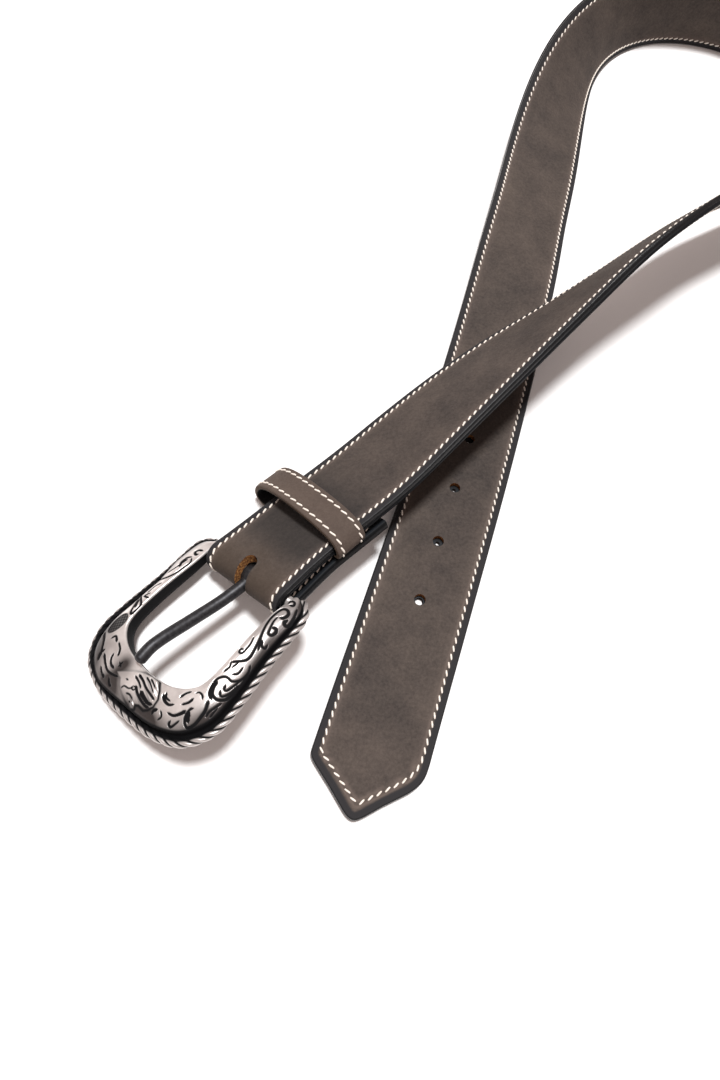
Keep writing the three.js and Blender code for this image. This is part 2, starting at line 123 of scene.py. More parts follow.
def run_along(points):
    """How far along a line of points each point lies: the sum of the steps before it."""
    return np.concatenate([[0.0], np.cumsum(np.linalg.norm(np.diff(points, axis=0), axis=1))])


def unit(vectors):
    """Each vector divided by its own length."""
    return vectors / np.linalg.norm(vectors, axis=-1, keepdims=True)


hill = np.array([[0.0], [1.0], [0.0]])
print("a spline through 0, 1 and 0, halfway up:", on_spline(hill, spline_bends(hill), [0.5]).round(3).item())

# %% [markdown]
# ## The strap's own coordinates
# A strap is easiest to describe flat. A point of it is (s, t, n): s along it from the fold at the buckle to
# the tip, t across it from its middle, and n out of its face. The path is a spline through points 30 mm
# apart, each with a roll about the path, and below s = 0 the strap goes round the bar and back under itself.
# All pieces of leather, and all their stitches, are laid out flat and carried onto the path this way, so
# they stay together wherever the strap twists.

# %% Path of the strap
PATH_STEP = 30.0
PATH = np.array([
    # x, y, z, roll in degrees
    [-72.5, -79.3, 21.5, 19.7],
    [-55.8, -55.5, 19.35, 24.0],
    [-37.3, -31.9, 19.13, 24.4],
    [-19.5, -8.0, 22.1, 28.2],
    [-1.5, 15.9, 25.23, 34.1],
    [17.2, 39.5, 27.83, 42.4],
    [36.6, 62.0, 31.28, 52.2],
    [56.4, 83.9, 36.67, 59.8],
    [76.5, 106.0, 39.1, 61.7],
    [96.5, 128.3, 37.18, 61.0],
    [118.6, 148.5, 36.16, 61.9],
    [140.0, 169.5, 33.47, 68.9],
    [159.1, 192.6, 29.35, 77.8],
    [173.7, 218.7, 24.78, 85.8],
    [180.5, 247.8, 21.28, 89.9],
    [176.5, 277.4, 20.25, 90.0],
    [160.4, 302.4, 20.25, 90.0],
    [134.8, 317.3, 20.25, 90.0],
    [105.1, 318.7, 20.25, 90.0],
    [77.7, 307.1, 20.55, 84.0],
    [56.5, 286.0, 20.4, 70.4],
    [42.5, 259.6, 18.52, 52.8],
    [34.2, 230.8, 14.78, 34.8],
    [29.3, 201.2, 10.64, 20.2],
    [25.7, 171.4, 8.18, 12.5],
    [22.1, 141.7, 8.86, 13.3],
    [18.4, 112.0, 8.5, 7.2],
    [14.6, 82.2, 6.85, 0.5],
    [10.7, 52.5, 4.74, 0.0],
    [6.5, 23.0, 3.9, 0.0],
    [2.0, -6.1, 3.9, 0.0],
    [-2.9, -35.5, 3.9, 0.0],
    [-8.1, -65.5, 3.9, 0.0],
    [-13.3, -95.6, 3.9, 0.0],
    [-18.4, -125.2, 3.9, 0.0],
    [-23.2, -154.7, 3.9, 0.0],
])
PATH[:, :3] += DRAWING_SHIFT
STRAP_WIDTH = 40.0
STRAP_THICK = 3.8
STRAP_LENGTH = 1050.0
FOLD_RADIUS = 6.1
FOLD_ARC = math.pi * FOLD_RADIUS
FOLD_NARROWING = 0.96
FOLD_EASE = (5.0, 45.0)
BACK_LENGTH = 50.0
KEEPER_WALL = 1.9
KEEPER_ROOM = 0.5
BACK_DEPTH = 2 * (STRAP_THICK + KEEPER_ROOM) + KEEPER_WALL
BACK_SETTLE = 26.0

print("path of", len(PATH), "points,", PATH_STEP, "mm apart, for", STRAP_LENGTH, "mm of strap")

# %% Frames along the strap
PATH_BENDS = spline_bends(PATH)
SLOPE_STEP = 0.5


def path_values(s):
    """x, y, z and roll at s, on the spline through the table's rows."""
    return on_spline(PATH, PATH_BENDS, np.asarray(s, float) / PATH_STEP)


def top_frame(s):
    """Point, along, across and out of the strap for s of 0 and more: along is the path's direction, and
    across is the level direction turned up by the roll."""
    values = path_values(s)
    ahead = path_values(np.minimum(s + SLOPE_STEP, STRAP_LENGTH))[..., :3]
    back = path_values(np.maximum(s - SLOPE_STEP, 0))[..., :3]
    along = unit(ahead - back)
    level = unit(np.cross(along, [0.0, 0.0, 1.0]))
    lift = np.cross(level, along)
    roll = np.radians(values[..., 3])[..., None]
    across = level * np.cos(roll) + lift * np.sin(roll)
    return values[..., :3], along, across, np.cross(across, along)


FOLD_POINT, FOLD_ALONG, FOLD_ACROSS, FOLD_OUT = (v[0] for v in top_frame(np.array([0.0])))
BAR_CENTRE = FOLD_POINT - FOLD_RADIUS * FOLD_OUT


def strap_frame(s):
    """The frame for any s. Round the bar, out and along turn by -s / radius; behind it, the top's frame is
    turned over and let down by twice the radius, easing to the depth at which the two layers lie."""
    s = np.asarray(s, float)
    behind = np.maximum(-s - FOLD_ARC, 0)
    point, along, across, out = top_frame(np.where(s >= 0, s, behind))
    ease = np.clip(behind / BACK_SETTLE, 0, 1)
    ease = ease * ease * (3 - 2 * ease)
    depth = 2 * FOLD_RADIUS + (BACK_DEPTH - 2 * FOLD_RADIUS) * ease
    is_back = (s < -FOLD_ARC)[..., None]
    point = np.where(is_back, point - depth[..., None] * out, point)
    along, out = np.where(is_back, -along, along), np.where(is_back, -out, out)
    turn = (-s / FOLD_RADIUS)[..., None]
    is_fold = ((s < 0) & (s >= -FOLD_ARC))[..., None]
    fold_out = FOLD_OUT * np.cos(turn) - FOLD_ALONG * np.sin(turn)
    fold_along = FOLD_OUT * np.sin(turn) + FOLD_ALONG * np.cos(turn)
    point = np.where(is_fold, BAR_CENTRE + FOLD_RADIUS * fold_out, point)
    along, out = np.where(is_fold, fold_along, along), np.where(is_fold, fold_out, out)
    across = np.where(is_fold, FOLD_ACROSS, across)
    return point, along, across, out


def narrowed(s, t):
    """The strap is 4 % narrower at the fold and reaches its full width 45 mm on, on both layers."""
    from_fold = np.maximum(s, -s - FOLD_ARC)
    share = np.clip((from_fold - FOLD_EASE[0]) / (FOLD_EASE[1] - FOLD_EASE[0]), 0, 1)
    return t * (FOLD_NARROWING + (1 - FOLD_NARROWING) * share * share * (3 - 2 * share))


def on_strap(s, t, n):
    """Places of points (s, t, n) in millimetres: the path's point plus t across and n out."""
    point, _, across, out = strap_frame(s)
    return point + np.asarray(t)[..., None] * across + np.asarray(n)[..., None] * out


tip_place = on_strap(STRAP_LENGTH, 0.0, 0.0)
print("bar centre", BAR_CENTRE.round(2), "mm and tip", tip_place.round(1), "mm")

# %% [markdown]
# ## Grids into meshes
# Most pieces here are skins: a section carried along a line. They could be drawn as curves with a bevel or
# grown with modifiers, but as one array of rows and columns every point keeps its place on the real belt.
# One helper turns any such array into a closed mesh with its faces outwards. It tells a mesh that is inside
# out by its volume, the sum of the small pyramids under its faces.

# %% Mesh helpers
def make_piece(name, points, faces, smooth=True):
    """A mesh object from points in millimetres and lists of corner numbers."""
    mesh = bpy.data.meshes.new(name)
    mesh.from_pydata((points * MM).tolist(), [], faces)
    mesh.polygons.foreach_set("use_smooth", np.full(len(mesh.polygons), smooth))
    mesh.update()
    piece = bpy.data.objects.new(name, mesh)
    bpy.context.scene.collection.objects.link(piece)
    return piece


def grid_faces(rows, columns, ring_rows=False, ring_columns=True, caps=True):
    """Corner numbers of the squares of a grid, with the two open ends closed by one flat face each."""
    row = np.arange(rows if ring_rows else rows - 1)[:, None]
    column = np.arange(columns if ring_columns else columns - 1)[None, :]
    next_row, next_column = (row + 1) % rows, (column + 1) % columns
    corners = [row * columns + column, row * columns + next_column]
    corners += [next_row * columns + next_column, next_row * columns + column]
    faces = np.stack([c + np.zeros_like(row * column) for c in corners], axis=-1).reshape(-1, 4).tolist()
    if caps and not ring_rows:
        faces.append(list(range(columns))[::-1])
        faces.append(list(range((rows - 1) * columns, rows * columns)))
    return faces


def volume_of(points, faces):
    """Signed volume: a sixth of the triple product of each triangle's corners, summed over fans."""
    quads = np.array([f for f in faces if len(f) == 4])
    a, b, c, d = (points[quads[:, k]] for k in range(4))
    total = np.einsum("ij,ij->", a, np.cross(b, c)) + np.einsum("ij,ij->", a, np.cross(c, d))
    return total / 6


def skin(name, grid, ring_rows=False, smooth=True):
    """A closed skin over a grid of points (rows, columns, 3) whose columns run round the section."""
    rows, columns = grid.shape[:2]
    points = grid.reshape(-1, 3)
    points = points - points.mean(axis=0)
    faces = grid_faces(rows, columns, ring_rows)
    if volume_of(points, faces) < 0:
        faces = [f[::-1] for f in faces]
    return make_piece(name, grid.reshape(-1, 3), faces, smooth)


def attribute(piece, name, values):
    """Stores one number for each point of a piece, for its material to read."""
    layer = piece.data.attributes.new(name, "FLOAT", "POINT")
    layer.data.foreach_set("value", np.asarray(values, np.float32).ravel())


def finish_piece(piece, body, slot, material, *nodes):
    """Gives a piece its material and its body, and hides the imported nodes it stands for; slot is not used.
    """
    if material is not None:
        piece.data.materials.clear()
        piece.data.materials.append(material)
    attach(piece, body)
    if nodes:
        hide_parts(*nodes)
    triangles = sum(len(p.vertices) - 2 for p in piece.data.polygons)
    print(piece.name, "rides on", body, "with", triangles, "triangles")


def smoothstep(low, high, x):
    """0 below low, 1 above high, and a smooth rise between them."""
    share = np.clip((np.asarray(x, float) - low) / (high - low), 0, 1)
    return share * share * (3 - 2 * share)


print("a tube of 3 rings with 4 corners each has", len(grid_faces(3, 4)), "faces, its two ends among them")

# %% [markdown]
# ## Finishes
# Each finish is a small tree of nodes round one Principled shader. A photograph of leather could be wrapped
# round the strap instead, but noise on the piece's own coordinates has no joins and stays sharp close up.
# What belongs to a place on the piece, such as a painted edge or a cut, is a number stored on the mesh,
# which the finish reads and turns into colour.

# %% Node helpers
def new_finish(name, **values):
    """A material whose Principled shader has the given values; returns it with its tree and shader."""
    material = bpy.data.materials.new(name)
    material.use_nodes = True
    tree = material.node_tree
    shader = next(n for n in tree.nodes if n.type == "BSDF_PRINCIPLED")
    for socket, value in values.items():
        shader.inputs[socket.replace("_", " ")].default_value = value
    return material, tree, shader


def node(tree, kind, inputs=None, **settings):
    """Adds a node, sets its settings and fills its sockets with numbers or with other nodes' outputs."""
    made = tree.nodes.new(kind)
    for name, value in settings.items():
        setattr(made, name, value)
    for socket, value in (inputs or {}).items():
        if isinstance(value, bpy.types.NodeSocket):
            tree.links.new(value, made.inputs[socket])
        else:
            made.inputs[socket].default_value = value
    return made


def noise(tree, scale, detail=3.0, roughness=0.55, vector=None):
    """Soft random grey on the object's own coordinates; scale is in waves per metre."""
    if vector is None:
        vector = node(tree, "ShaderNodeTexCoord").outputs["Object"]
    inputs = {"Vector": vector, "Scale": scale, "Detail": detail, "Roughness": roughness}
    return node(tree, "ShaderNodeTexNoise", inputs).outputs["Fac"]


def ramp(tree, value, *stops):
    """A grey value turned into colours: stops are (place, (r, g, b))."""
    made = node(tree, "ShaderNodeValToRGB", {"Fac": value})
    elements = made.color_ramp.elements
    while len(elements) < len(stops):
        elements.new(0.5)
    for element, (place, colour) in zip(elements, stops):
        element.position = place
        element.color = (*colour, 1.0)
    return made.outputs["Color"]


def mix(tree, share, first, second, blend="MIX"):
    """Colour between first and second."""
    made = node(tree, "ShaderNodeMix", data_type="RGBA", blend_type=blend)
    for socket, value in ((0, share), (6, first), (7, second)):
        if isinstance(value, bpy.types.NodeSocket):
            tree.links.new(value, made.inputs[socket])
        else:
            made.inputs[socket].default_value = value if socket == 0 else (*value, 1.0)
    return made.outputs[2]


def arithmetic(tree, operation, *values):
    """One Math node over numbers or outputs."""
    inputs = dict(enumerate(values))
    return node(tree, "ShaderNodeMath", inputs, operation=operation).outputs[0]


def stored(tree, name):
    """A value kept on the mesh under this name."""
    return node(tree, "ShaderNodeAttribute", attribute_name=name).outputs["Fac"]


def bump(tree, shader, height, distance, strength=1.0):
    """Turns a height into a tilt of the surface, distance in metres from lowest to highest."""
    inputs = {"Height": height, "Distance": distance, "Strength": strength}
    made = node(tree, "ShaderNodeBump", inputs)
    tree.links.new(made.outputs["Normal"], shader.inputs["Normal"])


def srgb(red, green, blue):
    """A colour as seen on a screen, 0 to 255, turned into the linear numbers that a shader takes."""
    seen = np.array([red, green, blue]) / 255
    return tuple(np.where(seen > 0.04045, ((seen + 0.055) / 1.055) ** 2.4, seen / 12.92).tolist())


def wire(tree, output, shader, socket="Base Color"):
    """Leads an output into one socket of the shader."""
    tree.links.new(output, shader.inputs[socket])


print("half grey on a screen is", round(srgb(128, 128, 128)[0], 3), "to a shader")

# %% [markdown]
# ## Leather
# The face is nubuck, leather buffed to a very short nap: matt, cloudy and almost without gloss. Three noises
# of very different size give it clouds, patches and grain. Its edges are painted black and burnished, so
# there the roughness falls. Where the strap bends round the bar the nap is worn to a warmer brown. From
# there to past the keeper the face is darkened by painted shade, the keeper's shadow painted on, and a line
# of dark leather runs outside the seam. The lining is smooth and black.

# %% Leather finishes
EDGE_PAINT = srgb(10, 12, 15)

nubuck, tree, shader = new_finish("nubuck", Roughness=0.82, Specular_IOR_Level=0.3)
clouds = noise(tree, 22, 5, 0.62)
patches = noise(tree, 75, 4, 0.7)
grain = noise(tree, 800, 5, 0.75)
face = ramp(tree, clouds, (0.36, srgb(52, 46, 44)), (0.5, srgb(79, 69, 63)), (0.66, srgb(104, 92, 83)))
face = mix(tree, 0.45, face, ramp(tree, patches, (0.35, srgb(54, 48, 45)), (0.68, srgb(108, 96, 87))))
face = mix(tree, 0.42, face, ramp(tree, grain, (0.3, srgb(48, 42, 40)), (0.7, srgb(104, 94, 88))))
face = mix(tree, 0.78, (0.0, 0.0, 0.0), face)
# painted shade: the keeper's shadow, painted on the face from near the fold to past the keeper
face = mix(tree, stored(tree, "keeper_shadow_painted"), face, srgb(24, 25, 27))
face = mix(tree, stored(tree, "warm"), face, srgb(66, 54, 43))
face = mix(tree, stored(tree, "border"), face, srgb(40, 39, 41))
face = mix(tree, stored(tree, "seam"), face, srgb(112, 99, 92))
face = mix(tree, stored(tree, "paint"), face, EDGE_PAINT)
wire(tree, face, shader)
gloss = node(tree, "ShaderNodeMapRange", {"Value": stored(tree, "paint"), "To Min": 0.82, "To Max": 0.32})
wire(tree, gloss.outputs[0], shader, "Roughness")
bump(tree, shader, grain, 0.00025, 0.6)

lining_black, tree, shader = new_finish("lining_black", Roughness=0.55, Specular_IOR_Level=0.14)
pores = noise(tree, 1400, 4, 0.6)
tone = ramp(tree, noise(tree, 40), (0.3, srgb(20, 23, 27)), (0.7, srgb(33, 36, 41)))
wire(tree, mix(tree, stored(tree, "paint"), tone, EDGE_PAINT), shader)
bump(tree, shader, pores, 0.00012, 0.5)
print("leather:", nubuck.name, "and", lining_black.name)

# %% [markdown]
# ## Thread and cut leather
# The thread is waxed and cream. Where the slot and the holes are cut, the raw inside of the leather shows,
# which is a bright fibrous brown. In the lining it is dark, and one wall of the slot, which faces away from
# the lamp, is given the same dark as painted shade, so there is a second finish with the same fibres.

# %% Thread and cut leather
FIBRES = (1500, 6, 0.75)

thread_cream, tree, shader = new_finish("thread_cream", Roughness=0.6)
strands = noise(tree, 2500, 2)
wire(tree, ramp(tree, strands, (0.3, srgb(218, 206, 192)), (0.7, srgb(255, 250, 242))), shader)

raw_suede, tree, shader = new_finish("raw_suede", Roughness=0.95)
fibres = noise(tree, *FIBRES)
brown = ramp(tree, fibres, (0.36, srgb(58, 32, 14)), (0.5, srgb(132, 84, 38)), (0.62, srgb(205, 150, 86)))
wire(tree, brown, shader)
bump(tree, shader, fibres, 0.0006)

# dark cut leather of the lining, and painted shade on the slot's wall away from the lamp
dark_suede_and_painted_shade, tree, shader = new_finish("dark_suede_and_painted_shade", Roughness=0.95, Specular_IOR_Level=0.1)
fibres = noise(tree, *FIBRES)
wire(tree, ramp(tree, fibres, (0.4, srgb(22, 18, 16)), (0.65, srgb(58, 46, 38))), shader)
print("thread and suede:", thread_cream.name, raw_suede.name, dark_suede_and_painted_shade.name)

# %% [markdown]
# ## Metal
# The buckle is cast, plated bright, dipped black and polished, so the black stays in every cut and in the
# groove. The mesh stores how deep in a cut each point is, as recess, and how much the bright face is
# darkened, as shade: patches of painted shade and painted dark reflection, and an even dulling of the rope.
# The black is matt, so a full recess also takes away the metal's reflection. The prong is plain steel with a
# dark finish.

# %% Metal finishes
cast_metal, tree, shader = new_finish("cast_metal", Metallic=0.65, Roughness=0.3)
tarnish = noise(tree, 120, 3)
brushed = noise(tree, 1500, 3, 0.7)
recess = stored(tree, "recess")
bright = ramp(tree, tarnish, (0.35, srgb(216, 210, 207)), (0.65, srgb(250, 245, 242)))
# shade darkens the bright face: painted shade and painted dark reflection in patches, an even dulling on the
# rope
bright = mix(tree, stored(tree, "shade"), bright, srgb(72, 67, 66))
wire(tree, mix(tree, recess, bright, srgb(12, 12, 14)), shader)
rough = node(tree, "ShaderNodeMapRange", {"Value": brushed, "To Min": 0.24, "To Max": 0.42}).outputs[0]
rough = arithmetic(tree, "MAXIMUM", rough, arithmetic(tree, "MULTIPLY", recess, 0.7))
wire(tree, rough, shader, "Roughness")
for socket, bare, blackened in (("Specular IOR Level", 0.5, 0.12), ("Metallic", 0.65, 0.0)):
    level = node(tree, "ShaderNodeMapRange", {"Value": recess, "To Min": bare, "To Max": blackened})
    wire(tree, level.outputs[0], shader, socket)
bump(tree, shader, brushed, 0.00004, 0.5)

dark_metal, tree, shader = new_finish("dark_metal", Metallic=0.7, Roughness=0.46)
worn = noise(tree, 900, 4, 0.6)
wire(tree, ramp(tree, worn, (0.35, srgb(43, 43, 46)), (0.7, srgb(64, 64, 66))), shader)
bump(tree, shader, noise(tree, 1400, 3), 0.00005, 0.4)
print("metal:", cast_metal.name, "and", dark_metal.name)

# %% [markdown]
# ## The strap's outline and seam
# The tip is a blunt arrow: its left shoulder is sharp and its right one rounded. The seam runs 3 mm inside
# the edge and meets in a point of its own. A flat outline could be cut out of a sheet, but a table of half
# widths lets the grid's columns follow the edge instead. The distance of every point of the leather from
# the outline says how far its edge has rounded off, and the distance from the seam says where the thread
# pulls it down.

# %% Outline and seam, flat
TIP = np.array([
    # back from the point, half width on the raised side, half width on the other
    [0.0, 0.25, 0.25],
    [0.15, 0.95, 0.95],
    [0.4, 1.65, 1.55],
    [1.0, 2.7, 2.4],
    [2.0, 4.0, 3.6],
    [7.5, 10.4, 9.0],
    [12.9, 17.2, 14.8],
    [13.9, 18.35, 15.8],
    [14.7, 19.1, 16.5],
    [15.6, 19.65, 17.2],
    [16.6, 19.95, 17.95],
    [18.2, 20.0, 18.85],
    [20.0, 20.0, 19.5],
    [22.0, 20.0, 19.85],
    [25.0, 20.0, 20.0],
])
STITCH_PITCH = 3.19
SEAM_INSET = 3.0
LINES_START = -90.0
SEAM_RAISED = np.array([
    # s, t
    [1044.8, 0.3], [1032.6, 16.3], [1031.4, 16.9], [1029.5, 17.0], [LINES_START, 17.0],
])
SEAM_OTHER = np.array([
    # s, t
    [1044.8, -0.3], [1034.6, -11.4], [1031.5, -14.2], [1029.0, -15.7], [1026.5, -16.6], [1023.5, -17.0],
    [LINES_START, -17.0],
])


def half_widths(s):
    """Half widths of the strap on its raised and on its other side, from the table of the tip."""
    back = STRAP_LENGTH - np.asarray(s, float)
    return np.interp(back, TIP[:, 0], TIP[:, 1]), np.interp(back, TIP[:, 0], TIP[:, 2])


def nearest_on(line, s, t):
    """Distance from points (s, t) to a line of corners, and how far along the line the nearest place is:
    for each stretch, the point's share along it is cut off at both ends, and the nearest stretch wins."""
    start, step = line[:-1], np.diff(line, axis=0)
    length = np.linalg.norm(step, axis=1)
    offset = np.stack([s, t], axis=-1)[..., None, :] - start
    share = np.clip((offset * step).sum(-1) / length**2, 0, 1)
    apart = np.linalg.norm(offset - share[..., None] * step, axis=-1)
    best = apart.argmin(axis=-1)
    pick = lambda table: np.take_along_axis(table, best[..., None], axis=-1)[..., 0]
    return pick(apart), pick(run_along(line)[:-1] + share * length)


outline_raised = np.stack([STRAP_LENGTH - TIP[:, 0], TIP[:, 1]], axis=1)
outline_other = np.stack([STRAP_LENGTH - TIP[:, 0], -TIP[:, 2]], axis=1)
OUTLINE = np.concatenate([
    [[LINES_START, STRAP_WIDTH / 2]], outline_raised[::-1], outline_other, [[LINES_START, -STRAP_WIDTH / 2]],
])
print("outline corners", len(OUTLINE))

# %% [markdown]
# ## Two plies of leather
# A ply is one closed skin: its top, its rounded and painted edges and its flat underside. It could be a
# plane with a Solidify and a Bevel modifier, but then the dent under each stitch would need a sculpted
# mesh. Stations along the grid are a third of a stitch apart, so the seam can sink between stitches, and its
# columns crowd towards the edges, where the rounding, the creased line and the seam are.

# %% Stations and columns of a ply
EDGE_OFFSETS = np.array([0, 0.08, 0.22, 0.42, 0.7, 1.0, 1.25, 1.4, 1.55, 1.9, 2.3, 2.65, 3.0, 3.35, 3.8, 4.6])
MIDDLE_COLUMNS = 12
SIDE_OUT = np.array([0.05, 0.05, 0.0])
HIDDEN_SHARES = np.linspace(1, -1, 7)
HIDDEN_INSET = 0.12
EDGE_ROOM = 0.3
TIP_REGION = 26.0

back_end = -FOLD_ARC - BACK_LENGTH
stations = np.concatenate([
    # three to a stitch, then every half millimetre, then ever closer to the point
    np.arange(back_end, STRAP_LENGTH - TIP_REGION, STITCH_PITCH / 3),
    STRAP_LENGTH - np.arange(TIP_REGION, 2.4, -0.5),
    STRAP_LENGTH - np.array([2.2, 1.9, 1.6, 1.3, 1.0, 0.8, 0.6, 0.4, 0.27, 0.15, 0.07, 0.0]),
])
ply_raised, ply_other = (half[:, None] for half in half_widths(stations))


def face_columns():
    """t of the columns on the face that shows: fixed offsets from both edges, drawn together where the tip
    is narrower than they reach, and even steps between them."""
    reach = EDGE_OFFSETS[-1] + EDGE_ROOM
    left = -ply_other + EDGE_OFFSETS * np.minimum(1, ply_other / reach)
    right = ply_raised - EDGE_OFFSETS[::-1] * np.minimum(1, ply_raised / reach)
    share = np.linspace(0, 1, MIDDLE_COLUMNS + 2)[1:-1]
    return np.concatenate([left, left[:, -1:] * (1 - share) + right[:, :1] * share, right], axis=1)


def hidden_columns():
    """t of the columns down one edge, along the hidden face and up the other edge."""
    hidden = np.where(HIDDEN_SHARES > 0, ply_raised, ply_other) * HIDDEN_SHARES - HIDDEN_INSET * HIDDEN_SHARES
    return np.concatenate([ply_raised + SIDE_OUT, hidden, -(ply_other + SIDE_OUT[::-1])], axis=1)


face_t = face_columns()
ply_t = np.concatenate([face_t, hidden_columns()], axis=1)
ply_s = np.repeat(stations[:, None], ply_t.shape[1], axis=1)
print("a ply has", len(stations), "stations of", ply_t.shape[1], "columns")

# %% Heights and marks of a ply
EDGE_ROUND = 0.75
CREASE_INSET = 1.4
CREASE_DEPTH = 0.1
CREASE_WIDTH = 0.16
SEAM_WIDTH = 0.55
SEAM_SINK = 0.14
STITCH_SINK = 0.08
OUTER_BOTTOM = -2.14
LINING_TOP = -2.16


def rounded(distance, radius):
    """How far an edge has dropped at a distance inside it: the height missing from a quarter circle."""
    inside = np.clip(radius - distance, 0, radius)
    return radius - np.sqrt(np.maximum(radius**2 - inside**2, 0))


def bell(x, width):
    """One at x = 0, falling off to both sides as e to the power of minus the square of x over width."""
    return np.exp(-((x / width) ** 2))


face_s = ply_s[:, :face_t.shape[1]]
edge, _ = nearest_on(OUTLINE, face_s, face_t)
on_raised = nearest_on(SEAM_RAISED, face_s, face_t)
on_other = nearest_on(SEAM_OTHER, face_s, face_t)
nearer = on_raised[0] < on_other[0]
seam, seam_run = (np.where(nearer, a, b) for a, b in zip(on_raised, on_other))
sink = (SEAM_SINK + STITCH_SINK * np.cos(2 * np.pi * seam_run / STITCH_PITCH)) * bell(seam, SEAM_WIDTH)
dropped = rounded(edge, EDGE_ROUND) + sink + CREASE_DEPTH * bell(edge - CREASE_INSET, CREASE_WIDTH)
rest = np.zeros((len(stations), ply_t.shape[1] - face_t.shape[1]))
fold_wear = bell(ply_s + 3.0, 9.0)
prong_wear = bell(ply_s - 7.0, 5.0) * bell(ply_t + 1.0, 6.0)
marks = {
    "paint": np.concatenate([1 - smoothstep(0.3, 0.6, edge), rest + 1], axis=1),
    "border": np.concatenate([1 - smoothstep(2.3, 2.9, edge), rest], axis=1),
    "seam": np.concatenate([0.5 * bell(seam - 0.9, 0.6) * (edge > SEAM_INSET), rest], axis=1),
    "warm": 0.55 * np.clip(fold_wear + 0.35 * prong_wear, 0, 1),
    # painted shade: the keeper's shadow on the strap, darkest from 17 mm to 36 mm past the fold
    "keeper_shadow_painted": 0.62 * smoothstep(3.0, 17.0, ply_s) * smoothstep(60.0, 36.0, ply_s),
}
print("deepest dent under a stitch", sink.max().round(2), "mm; marks", sorted(marks))

# %% Ply surfaces
def ply(name, face, hidden_face, sign):
    """Skin between two heights. Columns run over the face that shows, down one edge, along the hidden face
    and up the other edge; sign is 1 where the face that shows is the upper one."""
    side = np.linspace(face - sign * EDGE_ROUND, hidden_face, 5)[1:-1]
    under = np.concatenate([side, 0 * HIDDEN_SHARES + hidden_face, side[::-1]])
    n = np.concatenate([face - sign * dropped, rest + under], axis=1)
    piece = skin(name, on_strap(ply_s, narrowed(ply_s, ply_t), n))
    for mark, values in marks.items():
        attribute(piece, mark, values)
    return piece


strap_face = ply("strap_face", 0.0, OUTER_BOTTOM, 1)
strap_back = ply("strap_back", -STRAP_THICK, LINING_TOP, -1)
print(strap_face.name, "and", strap_back.name, "have", len(strap_face.data.vertices), "points each")

# %% [markdown]
# ## Cutting the slot and the holes
# The prong's slot follows the fold and has round ends. The five holes for the prong are straight. The grid
# could be made to run round them, but a cut is simpler: each is a Boolean modifier, which is applied, and
# the walls that it leaves take the cutter's finish, the raw inside of the leather. The lining's holes are cut
# much narrower, so that a dark ledge of lining fills the depth of each hole, as painted shade in place of
# the shadowed paper below.

# %% Cutters
SLOT_MIDDLE = -0.8
SLOT_SLANT = -0.15
SLOT_SLANT_REACH = 6.0
SLOT_HALF = 2.9
SLOT_REACH = 4.5
SLOT_ABOVE = 1.2
SLOT_BELOW = 0.7
SLOT_END = 0.15
HOLE_COUNT = 5
HOLE_RADIUS = 2.2
# narrower than the face's holes, so the dark lining fills each hole: painted shade
LINING_HOLE_RADII = (1.45, 0.85, 0.75, 0.8, 0.8)
FIRST_HOLE = 81.2
HOLE_PITCH = 25.4
PEG_PAST = 3.0


def slot_cutter():
    """A bar of the slot's shape: its half width is constant, and over its last stretch it follows the
    root of one less the square of the way into that stretch, which rounds its ends."""
    low, high = -FOLD_ARC - SLOT_REACH, SLOT_REACH
    s = (low + high) / 2 - (high - low) / 2 * np.cos(np.linspace(0, np.pi, 40))
    into = np.clip(1 - np.minimum(s - low, high - s) / SLOT_HALF, 0, 1)
    half = np.maximum(SLOT_HALF * np.sqrt(1 - into**2), SLOT_END)
    top, bottom = SLOT_ABOVE, -STRAP_THICK - SLOT_BELOW
    turn = np.array([[1, top], [1, bottom], [-1, bottom], [-1, top]])
    middle = SLOT_MIDDLE + SLOT_SLANT * np.clip(s, -SLOT_SLANT_REACH, SLOT_SLANT_REACH)
    t = middle[:, None] + half[:, None] * turn[None, :, 0]
    n = np.repeat(turn[None, :, 1], len(s), axis=0)
    return skin("slot_cutter", on_strap(np.repeat(s[:, None], 4, axis=1), t, n), smooth=False)


def hole_peg(name, s, radius):
    """A round peg through the strap: a circle in s and t at two heights."""
    angle = np.linspace(0, 2 * np.pi, 32, endpoint=False)
    n = np.array([PEG_PAST, -STRAP_THICK - PEG_PAST])[:, None] + 0 * angle
    all_s = s + radius * np.cos(angle) + 0 * n
    all_t = radius * np.sin(angle) + 0 * n
    return skin(name, on_strap(all_s, all_t, n), smooth=False)


hole_places = STRAP_LENGTH - FIRST_HOLE - HOLE_PITCH * np.arange(HOLE_COUNT)
face_pegs = [hole_peg(f"face_peg_{i}", s, HOLE_RADIUS) for i, s in enumerate(hole_places)]
lining_pegs = [hole_peg(f"lining_peg_{i}", s, LINING_HOLE_RADII[i]) for i, s in enumerate(hole_places)]
slot = slot_cutter()
print("cutters: the slot,", len(face_pegs), "pegs for the face and", len(lining_pegs), "for the lining")

# %% Cutting
def cut(piece, cutters):
    """Applies one Boolean modifier per cutter and keeps the evaluated mesh."""
    for cutter in cutters:
        step = piece.modifiers.new("cut", "BOOLEAN")
        step.operation = "DIFFERENCE"
        step.object = cutter
        step.solver = "EXACT"
        step.material_mode = "TRANSFER"
    evaluated = piece.evaluated_get(bpy.context.evaluated_depsgraph_get())
    mesh = bpy.data.meshes.new_from_object(evaluated)
    piece.modifiers.clear()
    piece.data = mesh


for peg in [slot] + face_pegs:
    peg.data.materials.append(raw_suede)
for peg in [slot] + lining_pegs:
    peg.data.materials.append(dark_suede_and_painted_shade)
slot_normals = np.array([list(p.normal) for p in slot.data.polygons])
